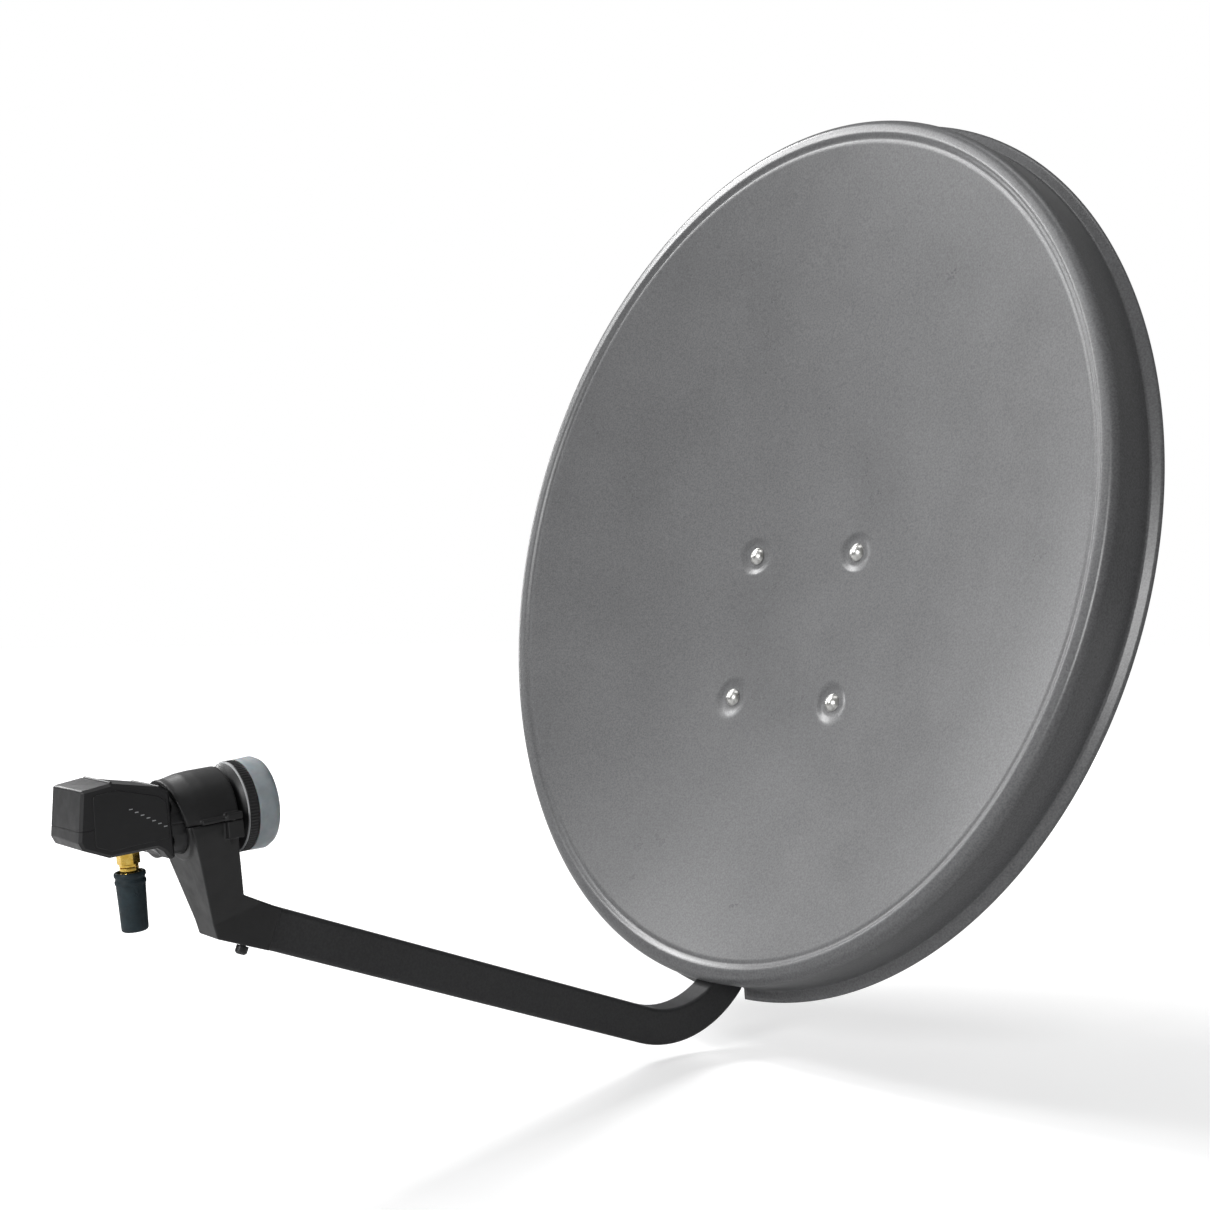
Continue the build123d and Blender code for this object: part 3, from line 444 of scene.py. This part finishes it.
def brushed_material(name, colour, stretch, roughness):
    """Brushed metal with lines along one axis."""
    recipe = Recipe(name)
    dark, light = shades(colour, 0.14)
    lines = recipe.noise(0.6, 4.0, 0.6, stretch)
    recipe.bump(lines, 0.02, 0.4)
    recipe.set(Metallic=1.0)
    rough = recipe.ranged(recipe.noise(4, 4.0), roughness - 0.06, roughness + 0.09)
    return recipe.done(recipe.colours(lines, dark, light), rough)


def gold_material():
    """Gold-coloured plate with fine scratches and worn duller spots."""
    recipe = Recipe("gold_brass")
    base = recipe.colours(recipe.noise(3, 4.0), (0.80, 0.50, 0.085), (0.93, 0.66, 0.17))
    scratches = recipe.noise(0.5, 4.0, 0.7, (1, 1, 9))
    recipe.bump(scratches, 0.01, 0.45)
    recipe.set(Metallic=1.0)
    return recipe.done(base, recipe.ranged(recipe.noise(1.4, 5.0, 0.7), 0.14, 0.32))


def clear_cap_material():
    """Milky grey-blue polypropylene that lets some light through."""
    recipe = Recipe("feed_cap_plastic")
    colour = recipe.colours(recipe.noise(8, 4.0), (0.40, 0.45, 0.48), (0.52, 0.57, 0.60))
    recipe.bump(recipe.noise(1.2, 3.0), 0.02, 0.4)
    recipe.set(Transmission_Weight=0.25, Subsurface_Weight=0.3, Subsurface_Scale=0.004, IOR=1.45)
    return recipe.done(colour, recipe.ranged(recipe.noise(5, 5.0), 0.3, 0.48))


def rubber_material(name, colour):
    """Matt rubber with a bloom of dust and a fine pebbled skin."""
    recipe = Recipe(name)
    dark, light = shades(colour, 0.25)
    bloom = recipe.colours(recipe.noise(6, 5.0, 0.7), dark, light)
    recipe.bump(recipe.cells(0.6, "SMOOTH_F1").outputs["Distance"], 0.02, 0.4)
    recipe.bump(recipe.noise(3, 4.0), 0.05, 0.35)
    return recipe.done(bloom, recipe.ranged(recipe.noise(4, 5.0), 0.5, 0.72))


def board_material():
    """Green laminate with a weave under the lacquer."""
    recipe = Recipe("board")
    weave = recipe.node("TexBrick")
    weave.inputs["Scale"].default_value = 900.0
    weave.inputs["Color1"].default_value = (0.012, 0.12, 0.05, 1)
    weave.inputs["Color2"].default_value = (0.02, 0.17, 0.07, 1)
    weave.inputs["Mortar"].default_value = (0.015, 0.09, 0.04, 1)
    recipe.link(recipe.space.outputs["Object"], weave.inputs["Vector"])
    recipe.bump(recipe.noise(1.0, 2.0), 0.02, 0.3)
    return recipe.done(weave.outputs["Color"], recipe.ranged(recipe.noise(4), 0.3, 0.42))


MATERIALS = {
    "reflector_paint": coat_material("reflector_paint", (0.125, 0.126, 0.129), 0.3, 0.42, 0.012, 0.03),
    "bracket_paint": coat_material("bracket_paint", (0.045, 0.046, 0.048), 0.44, 0.4, 0.05),
    "arm_paint": coat_material("arm_paint", (0.026, 0.026, 0.0275), 0.5, 0.4, 0.05),
    "holder_plastic": moulded_material("holder_plastic", (0.0125, 0.0125, 0.013), 0.46, 0.7, 0.05),
    "spacer_plastic": moulded_material("spacer_plastic", (0.03, 0.03, 0.031), 0.55, 0.7, 0.03),
    "zinc_steel": zinc_material(),
    "black_steel": black_steel_material(),
    "scale_plate": brushed_material("scale_plate", (0.72, 0.72, 0.73), (1, 8, 1), 0.34),
    "lnb_plastic": moulded_material("lnb_plastic", (0.012, 0.012, 0.013), 0.42, 0.5, 0.03),
    "cast_alloy": brushed_material("cast_alloy", (0.52, 0.52, 0.53), (1, 1, 1), 0.46),
    "feed_cap_plastic": clear_cap_material(),
    "seal_rubber": rubber_material("seal_rubber", (0.016, 0.016, 0.017)),
    "board": board_material(),
    "gold_brass": gold_material(),
    "insulator": moulded_material("insulator", (0.78, 0.78, 0.75), 0.4, 0.6, 0.01, 0.04),
    "boot_rubber": rubber_material("boot_rubber", (0.008, 0.021, 0.028)),
}
GREY_TRIM = moulded_material("grey_trim", (0.46, 0.47, 0.48), 0.42, 0.5, 0.02, 0.05)


# ---------------------------------------------------------------- mesh helpers
MERGE_DISTANCE = 1e-6
BEVEL_SEGMENTS = 3
BEVEL_ANGLE = math.radians(35.0)


def build(name, vertices, faces, slot, body, place, smooth, material=None):
    """A piece from millimetre vertices, put in place and tied to a body."""
    mesh = bpy.data.meshes.new(name)
    mesh.from_pydata([tuple(place @ (Vector(v) * MM)) for v in vertices], [], faces)
    work = bmesh.new()
    work.from_mesh(mesh)
    bmesh.ops.recalc_face_normals(work, faces=work.faces)
    work.to_mesh(mesh)
    work.free()
    piece = bpy.data.objects.new(name, mesh)
    bpy.context.scene.collection.objects.link(piece)
    mesh.materials.append(material or MATERIALS[slot])
    soften(mesh, smooth)
    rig.ride(piece, body)
    if material is None:
        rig.slot(piece, slot)
    return piece


def soften(mesh, degrees):
    """Smooth shading with sharp edges above an angle."""
    mesh.shade_smooth()
    mesh.set_sharp_from_angle(angle=math.radians(degrees))


def bevel(piece, width_mm):
    """Rounds the edges that are sharper than a given angle."""
    modifier = piece.modifiers.new("edge", "BEVEL")
    modifier.width = width_mm * MM
    modifier.segments = BEVEL_SEGMENTS
    modifier.limit_method = "ANGLE"
    modifier.angle_limit = BEVEL_ANGLE
    modifier.use_clamp_overlap = True
    modifier.harden_normals = False


def grid(rows, columns, point, closed=True):
    """Vertices and quads of a rows by columns surface; closed joins the last column to the first."""
    vertices = [point(i, j) for i in range(rows) for j in range(columns)]
    faces = []
    for i in range(rows - 1):
        for j in range(columns if closed else columns - 1):
            k = (j + 1) % columns
            faces.append((i * columns + j, i * columns + k, (i + 1) * columns + k, (i + 1) * columns + j))
    return vertices, faces


def lathe(name, profile, slot, body, place, segments, wave, smooth, material=None):
    """Closed (radius, height) profile turned round Z; wave changes the radius with angle and height."""
    ring = [*profile, profile[0]]

    def point(i, j):
        radius, height = ring[i]
        angle = 2 * math.pi * j / segments
        if wave:
            radius += wave(angle, height, radius)
        return (radius * math.cos(angle), radius * math.sin(angle), height)

    vertices, faces = grid(len(ring), segments, point)
    piece = build(name, vertices, faces, slot, body, place, smooth, material)
    work = bmesh.new()
    work.from_mesh(piece.data)
    bmesh.ops.remove_doubles(work, verts=work.verts, dist=MERGE_DISTANCE)
    bmesh.ops.recalc_face_normals(work, faces=work.faces)
    work.to_mesh(piece.data)
    work.free()
    soften(piece.data, smooth)
    return piece


def triangle_wave(turn):
    """1 at whole turns, 0 at half turns."""
    return abs(2 * (turn - math.floor(turn)) - 1)


def thread_rows(start, end, pitch, per_pitch=8):
    """Heights that divide every turn of a thread evenly."""
    count = max(2, round((end - start) / pitch * per_pitch))
    return [start + (end - start) * i / count for i in range(count + 1)]


def threaded(radius, depth, pitch, start, end):
    """Wave for a helical thread between two heights, faded at the ends."""
    def wave(angle, height, base):
        if height < start or height > end or base < radius - 1e-6:
            return 0.0
        fade = min(1.0, (height - start) / pitch, (end - height) / pitch)
        return -depth * fade * (1 - triangle_wave(height / pitch - angle / (2 * math.pi)))
    return wave


def solids_of(node):
    """Vertex lists of the separate solids in a CAD node, in metres."""
    work = bmesh.new()
    work.from_mesh(NODES[node].data)
    bmesh.ops.remove_doubles(work, verts=work.verts, dist=MERGE_DISTANCE)
    seen, groups = set(), []
    for first in work.verts:
        if first.index in seen:
            continue
        stack, group = [first], []
        seen.add(first.index)
        while stack:
            vertex = stack.pop()
            group.append(vertex.co.copy())
            for edge in vertex.link_edges:
                other = edge.other_vert(vertex)
                if other.index not in seen:
                    seen.add(other.index)
                    stack.append(other)
        groups.append(group)
    work.free()
    return groups


def thread_shanks(node, direction, radius, pitch, length):
    """Wraps the free end of every bolt in a node with a cut thread; direction points to the tip."""
    turn = Vector(direction).to_track_quat("Z", "X").to_matrix().to_4x4()
    back = turn.inverted()
    for index, group in enumerate(solids_of(node)):
        local = [back @ point for point in group]
        middle = [(min(p[k] for p in local) + max(p[k] for p in local)) / 2 for k in (0, 1)]
        tip = max(p.z for p in local) / MM
        outer = radius + 0.1
        heights = thread_rows(-length, -0.3, pitch)
        profile = [(outer, h) for h in heights] + [(outer - 0.5, 0.05), (0.01, 0.05), (0.01, -length)]
        wave = threaded(outer, 0.13 * pitch * 4, pitch, -length, -0.3)
        place = turn @ Matrix.Translation((middle[0], middle[1], tip * MM))
        lathe(f"{node}_thread_{index + 1}", profile, SUBPARTS[node], BODY_OF[node], place, 36, wave, 60.0)


# ---------------------------------------------------------------- reflector
def depth_at(x, up):
    """Depth of the reflecting surface behind the rim plane, in millimetres."""
    depth = 0.0
    slope = 4 * FOCAL_LENGTH * math.cos(BETA) + 2 * APERTURE_OFFSET * math.sin(BETA)
    for _ in range(6):
        span = slope + up * math.sin(2 * BETA) + depth * math.sin(BETA) ** 2
        depth = (APERTURE_RADIUS**2 - x**2 - (up * math.cos(BETA)) ** 2) / span
    return depth


def smooth_step(value):
    """Ease from 0 to 1."""
    value = min(1.0, max(0.0, value))
    return value * value * (3 - 2 * value)


def skin_depth(x, up):
    """Middle of the sheet, with a soft dimple round each bolt."""
    depth = depth_at(x, up) + SHEET / 2
    for bolt_x, row in BOLT_SPOTS:
        distance = math.hypot(x - bolt_x, up - row)
        if distance < PAD_SLOPE_RADIUS:
            depth += PAD_SINK * smooth_step((PAD_SLOPE_RADIUS - distance) / (PAD_SLOPE_RADIUS - PAD_RADIUS))
    return depth


def rounded_path(points, radii, steps=10):
    """Polyline with an arc of the given radius at each inner corner."""
    path = [Vector(points[0])]
    for index, radius in enumerate(radii):
        before, corner, after = (Vector(points[index + k]) for k in range(3))
        to_before = (before - corner).normalized()
        to_after = (after - corner).normalized()
        half = to_before.angle(to_after) / 2
        reach = radius / math.tan(half)
        centre = corner + (to_before + to_after).normalized() * (radius / math.sin(half))
        start = corner + to_before * reach - centre
        end = corner + to_after * reach - centre
        sweep = start.angle(end)
        for step in range(steps + 1):
            part = step / steps
            scale_start = math.sin((1 - part) * sweep) / math.sin(sweep)
            scale_end = math.sin(part * sweep) / math.sin(sweep)
            path.append(centre + start * scale_start + end * scale_end)
    path.append(Vector(points[-1]))
    return path


def filled_path(points, gap):
    """The same path with extra points, so that no step is longer than a gap."""
    path = [points[0]]
    for before, after in zip(points, points[1:]):
        parts = max(1, math.ceil(math.dist(before, after) / gap))
        for part in range(1, parts + 1):
            share = part / parts
            path.append(tuple(a + (b - a) * share for a, b in zip(before, after)))
    return path


def ellipse_point(angle, offset):
    """Point on the rim ellipse moved outwards along its normal, as (x, up)."""
    normal = Vector((math.cos(angle) / HALF_WIDTH, math.sin(angle) / HALF_HEIGHT)).normalized()
    return (
        HALF_WIDTH * math.cos(angle) + offset * normal.x,
        HALF_HEIGHT * math.sin(angle) + offset * normal.y,
    )


def make_reflector():
    """Pressed bowl, groove, rolled bead, skirt and turned-out edge, as one sheet with thickness."""
    columns, bowl_rings = 720, 110
    bowl_edge, groove, groove_sink = -9.0, -7.9, 0.35
    path = rounded_path(RIM_SECTION, RIM_BENDS)
    start = next(i for i, p in enumerate(path) if p.y < 1.9)
    rim = filled_path([(p.x, p.y) for p in path[start:]], RIM_STEP)
    skirt_top = next(i for i, p in enumerate(rim) if p[1] > NOTCH_DEPTH)
    rows = [("bowl", ring / bowl_rings) for ring in range(1, bowl_rings + 1)]
    rows.append(("groove", 0.0))
    rows += [("rim", index) for index in range(len(rim))]
    step_angle = 2 * math.pi / columns

    def point(i, j):
        angle = step_angle * j
        kind, value = rows[i]
        if kind == "bowl":
            edge_x, edge_up = ellipse_point(angle, bowl_edge)
            x, up = edge_x * value, edge_up * value
            return (x, skin_depth(x, up), up)
        if kind == "groove":
            x, up = ellipse_point(angle, groove)
            return (x, skin_depth(x, up) + groove_sink, up)
        offset, depth = rim[value]
        x, up = ellipse_point(angle, offset)
        if value >= skirt_top and up < 0 and abs(abs(x) - NOTCH_HALF_WIDTH) < HALF_WIDTH * step_angle * 0.5:
            x = math.copysign(NOTCH_HALF_WIDTH, x)
        return (x, depth, up)

    vertices, faces = grid(len(rows), columns, point)
    first_skirt = bowl_rings + 1 + skirt_top

    def in_notch(face):
        middle_x = sum(vertices[k][0] for k in face) / 4
        below = min(face) // columns >= first_skirt and vertices[face[0]][2] < 0
        return below and abs(middle_x) < NOTCH_HALF_WIDTH

    faces = [face for face in faces if not in_notch(face)]
    centre = len(vertices)
    vertices.append((0, skin_depth(0, 0), 0))
    faces.extend((j, centre, (j + 1) % columns) for j in range(columns))
    piece = build("reflector_skin", vertices, faces, "reflector_paint", "dish", DISH, 60.0)
    sheet = piece.modifiers.new("sheet", "SOLIDIFY")
    sheet.thickness = SHEET * MM
    sheet.offset = 0.0
    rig.replaces(piece, "reflector")


# ---------------------------------------------------------------- feed housing details
def capsule(name, length, radius, slot, body, place):
    """Bar along X with rounded ends."""
    steps = 8
    profile = [(0.01, -length / 2)]
    for step in range(1, steps + 1):
        angle = math.pi / 2 * step / steps
        profile.append((radius * math.sin(angle), -length / 2 + radius * (1 - math.cos(angle))))
    profile += [(r, -h) for r, h in reversed(profile)]
    lathe(name, profile, slot, body, place @ Matrix.Rotation(math.pi / 2, 4, "Y"), 24, None, 40.0)


def prism(name, outline, x_from, x_to, slot, body, place, edge, material=None):
    """Plate with a (y, z) outline between two x places, its edges rounded."""
    count = len(outline)
    vertices = [(x_from, y, z) for y, z in outline] + [(x_to, y, z) for y, z in outline]
    faces = [tuple(range(count)), tuple(range(2 * count - 1, count - 1, -1))]
    faces += [(i, (i + 1) % count, count + (i + 1) % count, count + i) for i in range(count)]
    bevel(build(name, vertices, faces, slot, body, place, 40.0, material), edge)


def rounded_outline(points, radius):
    """Closed outline with the same arc at every corner."""
    closed = [points[-1], *points, points[0]]
    path = rounded_path(closed, [radius] * len(points), 6)[1:-1]
    return [(p.x, p.y) for p in path]


def make_housing_details():
    """Side panels, tick marks and top ribs."""
    panel = [
        (BOX_BACK + 8.5, -3.5),
        (BOX_BACK + 9.5, BOX_TOP - 5.0),
        (BOX_BACK + 23, BOX_TOP - 4.0),
        (BOX_FRONT - 7, 17.5),
        (BOX_FRONT - 2.5, 14.0),
        (BOX_FRONT - 2.5, -6.5),
        (BOX_BACK + 17, -7.5),
    ]
    outline = rounded_outline(panel, 2.2)
    for side, label in ((-1, "left"), (1, "right")):
        xs = sorted((side * (BOX_HALF_WIDTH - 0.8), side * (BOX_HALF_WIDTH + 0.55)))
        prism(f"lnb_panel_{label}", outline, *xs, "lnb_plastic", "lnb", FEED, 0.45)
        for index in range(7):
            y = BOX_FRONT - 24 + 3.1 * index
            z = 13.0 - 2.1 * index
            xs = sorted((side * (BOX_HALF_WIDTH + 0.3), side * (BOX_HALF_WIDTH + 0.7)))
            tick = [(y, z - 0.25), (y + 2.0, z - 0.25), (y + 2.0, z + 0.25), (y, z + 0.25)]
            prism(f"lnb_tick_{label}_{index + 1}", tick, *xs, None, "lnb", FEED, 0.08, GREY_TRIM)
    ribs = ((BOX_BACK + 21, BOX_TOP - 0.35, 1.1), (BOX_FRONT - 4.6, 21.6, 1.0))
    for index, (y, z, radius) in enumerate(ribs):
        place = FEED @ Matrix.Translation(Vector((0, y, z)) * MM)
        capsule(f"lnb_rib_{index + 1}", 2 * BOX_HALF_WIDTH - 5, radius, "lnb_plastic", "lnb", place)


def make_scoop():
    """Concave light-grey trough from the outlet to the foot of the neck."""
    rows, columns = 14, 15
    start, end = PORT_Y + 9.3, BOX_FRONT - 1.0

    def point(i, j):
        along = i / (rows - 1)
        across = 2 * j / (columns - 1) - 1
        y = start + (end - start) * along
        drop = BOX_BOTTOM - 1.2 - 6.4 * smooth_step(along)
        return (9.0 * across, y, drop + 1.4 * math.sqrt(1 - across**2) * (1 - 0.5 * along))

    vertices, faces = grid(rows, columns, point, closed=False)
    piece = build("lnb_scoop", vertices, faces, None, "lnb", FEED, 60.0, GREY_TRIM)
    thick = piece.modifiers.new("thick", "SOLIDIFY")
    thick.thickness = 1.0 * MM
    thick.offset = 0.0


def make_horn_flange():
    """Cone and grip ring between neck and cap."""
    grip_start, grip_end = NECK_BACK + 5.6, HORN_BACK - 0.8
    ribs = 90

    def grip(angle, height, radius):
        if radius < HORN_RADIUS - 0.2 or not grip_start <= height <= grip_end:
            return 0.0
        return -0.38 * (0.5 - 0.5 * math.cos(ribs * angle)) ** 0.7

    cone = [(15.6, NECK_BACK), (19.6, NECK_BACK), (NECK_RADIUS + 0.2, NECK_BACK + 0.2)]
    step = [
        (HORN_RADIUS - 1.0, NECK_BACK + 4.4),
        (HORN_RADIUS - 0.35, NECK_BACK + 5.0),
        (HORN_RADIUS, NECK_BACK + 5.5),
    ]
    barrel = [(HORN_RADIUS, grip_start + (grip_end - grip_start) * t / 4) for t in range(5)]
    front = [
        (HORN_RADIUS, HORN_BACK - 0.75),
        (HORN_RADIUS - 0.2, HORN_BACK - 0.3),
        (HORN_RADIUS - 0.6, HORN_BACK),
    ]
    inside = [(24.2, HORN_BACK), (24.2, HORN_BACK - 3), (23.3, HORN_BACK - 3), (23.3, 21.9)]
    profile = cone + step + barrel + front + inside
    piece = lathe("horn_flange_ribbed", profile, "lnb_plastic", "lnb", FEED @ ALONG_Y, 720, grip, 50.0)
    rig.replaces(piece, "horn_flange")
    edge = [
        (HORN_RADIUS - 1.0, NECK_BACK + 4.35),
        (HORN_RADIUS - 0.3, NECK_BACK + 4.7),
        (HORN_RADIUS - 0.3, NECK_BACK + 5.1),
        (HORN_RADIUS - 1.0, NECK_BACK + 4.9),
    ]
    lathe("horn_flange_line", edge, None, "lnb", FEED @ ALONG_Y, 180, None, 50.0, GREY_TRIM)


def port_place(height):
    """Place on the outlet's axis, Z pointing away from the housing."""
    return FEED @ Matrix.Translation(Vector((0, PORT_Y, height)) * MM) @ Matrix.Rotation(math.pi, 4, "X")


def make_port():
    """Outlet with its collar and helical thread."""
    length = PORT_START - PORT_END
    body = [(2.6, -3.0), (7.5, -3.0), (7.5, -0.3), (7.2, 0.0), (PORT_RADIUS - 0.5, 0.0), (PORT_RADIUS, 0.6)]
    thread = [(PORT_RADIUS, h) for h in thread_rows(0.8, length - 0.6, PORT_PITCH, 10)]
    profile = [*body, *thread, (PORT_RADIUS - 0.6, length), (2.6, length)]
    wave = threaded(PORT_RADIUS, 0.5, PORT_PITCH, 0.8, length - 0.6)
    piece = lathe("f_port_threaded", profile, "gold_brass", "lnb", port_place(PORT_START), 64, wave, 60.0)
    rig.replaces(piece, "f_port")


def make_knurl():
    """Diamond knurling round the connector's barrel."""
    top, end = -26.2, -34.6
    ridges = 26

    def diamonds(angle, height, radius):
        if radius < 4.9 or not 0.3 < height < top - end - 0.3:
            return 0.0
        turn = ridges * angle / (2 * math.pi)
        climb = height / 1.25
        return -0.32 * (1 - triangle_wave(turn + climb) * triangle_wave(turn - climb)) ** 2

    heights = [(top - end) * t / 60 for t in range(61)]
    profile = [(3.7, 0.0), *[(5.12, h) for h in heights], (3.7, top - end)]
    lathe("connector_knurl", profile, "gold_brass", "lnb", port_place(top), 312, diamonds, 70.0)


def make_boot_arrows():
    """Small raised pointer on each side of the boot, under its ribs."""
    for side, label in ((-1, "left"), (1, "right")):
        xs = sorted((side * 7.2, side * 8.05))
        arrow = [(-1.9, 0), (0, -2.2), (1.9, 0), (0.7, 0), (0.7, 2.2), (-0.7, 2.2), (-0.7, 0)]
        outline = [(PORT_Y + y, -35.2 + z) for y, z in arrow]
        prism(f"boot_arrow_{label}", outline, *xs, "boot_rubber", "boot", FEED, 0.15)


# ---------------------------------------------------------------- carried-over nodes
PLATES = ("back_bracket", "arm_channel", "mast_bracket", "mast_jaw_upper", "mast_jaw_lower")
SHARP_EDGES = {
    "back_bracket": 0.9, "arm_channel": 0.8, "mast_bracket": 0.9,
    "mast_jaw_upper": 0.7, "mast_jaw_lower": 0.7,
    "arm_tube": 0.3, "arm_end_cap": 0.5, "reflector_spacers": 0.4, "elevation_scale": 0.08,
    "lnb_top_shell": 0.5, "lnb_bottom_shell": 0.5, "feed_cap": 0.4, "rubber_boot": 0.4,
    "wing_nut_left": 0.7, "wing_nut_right": 0.7, "connector_nut": 0.25,
}
HARDWARE_EDGE = 0.2
FLAT_ANGLE = math.radians(0.5)
MOULDED = ("lnb_holder", "clamp_cap")
MOULD_VOXEL = 0.5


def round_mould(piece):
    """Melts the sharp edges of a moulding into soft ones."""
    remesh = piece.modifiers.new("skin", "REMESH")
    remesh.mode = "VOXEL"
    remesh.voxel_size = MOULD_VOXEL * MM
    remesh.use_smooth_shade = True
    ease = piece.modifiers.new("ease", "SMOOTH")
    ease.factor = 0.6
    ease.iterations = 8


def dress_nodes():
    """Material for every CAD node, and softened edges for those that are shown."""
    for name, slot in SUBPARTS.items():
        node = NODES[name]
        node.data.materials.clear()
        node.data.materials.append(MATERIALS[slot])
        for polygon in node.data.polygons:
            polygon.material_index = 0
        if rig.alive(node) is None:
            continue
        weld = node.modifiers.new("weld", "WELD")
        weld.merge_threshold = MERGE_DISTANCE
        if name in PLATES:
            flat = node.modifiers.new("flat", "DECIMATE")
            flat.decimate_type = "DISSOLVE"
            flat.angle_limit = FLAT_ANGLE
        if name in MOULDED:
            round_mould(node)
        else:
            bevel(node, SHARP_EDGES.get(name, HARDWARE_EDGE))


make_camera()
make_studio()
make_floor()
dress_nodes()
make_reflector()
make_housing_details()
make_scoop()
make_horn_flange()
make_port()
make_knurl()
make_boot_arrows()

DISH_BACK = DISH.to_3x3() @ Vector((0, 1, 0))
thread_shanks("jaw_bolts", (0, 1, 0), 4.0, 1.25, 36)
thread_shanks("reflector_bolts", DISH_BACK, 3.0, 1.0, 9)
thread_shanks("arm_bolts", (-1, 0, 0), 3.0, 1.0, 9)
thread_shanks("pivot_bolt", (-1, 0, 0), 4.0, 1.25, 14)

size = {"cad": [list(corner) for corner in CAD_BOX], "visual": [list(corner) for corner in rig.bounds()]}
json.dump(size, open("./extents.json", "w"))
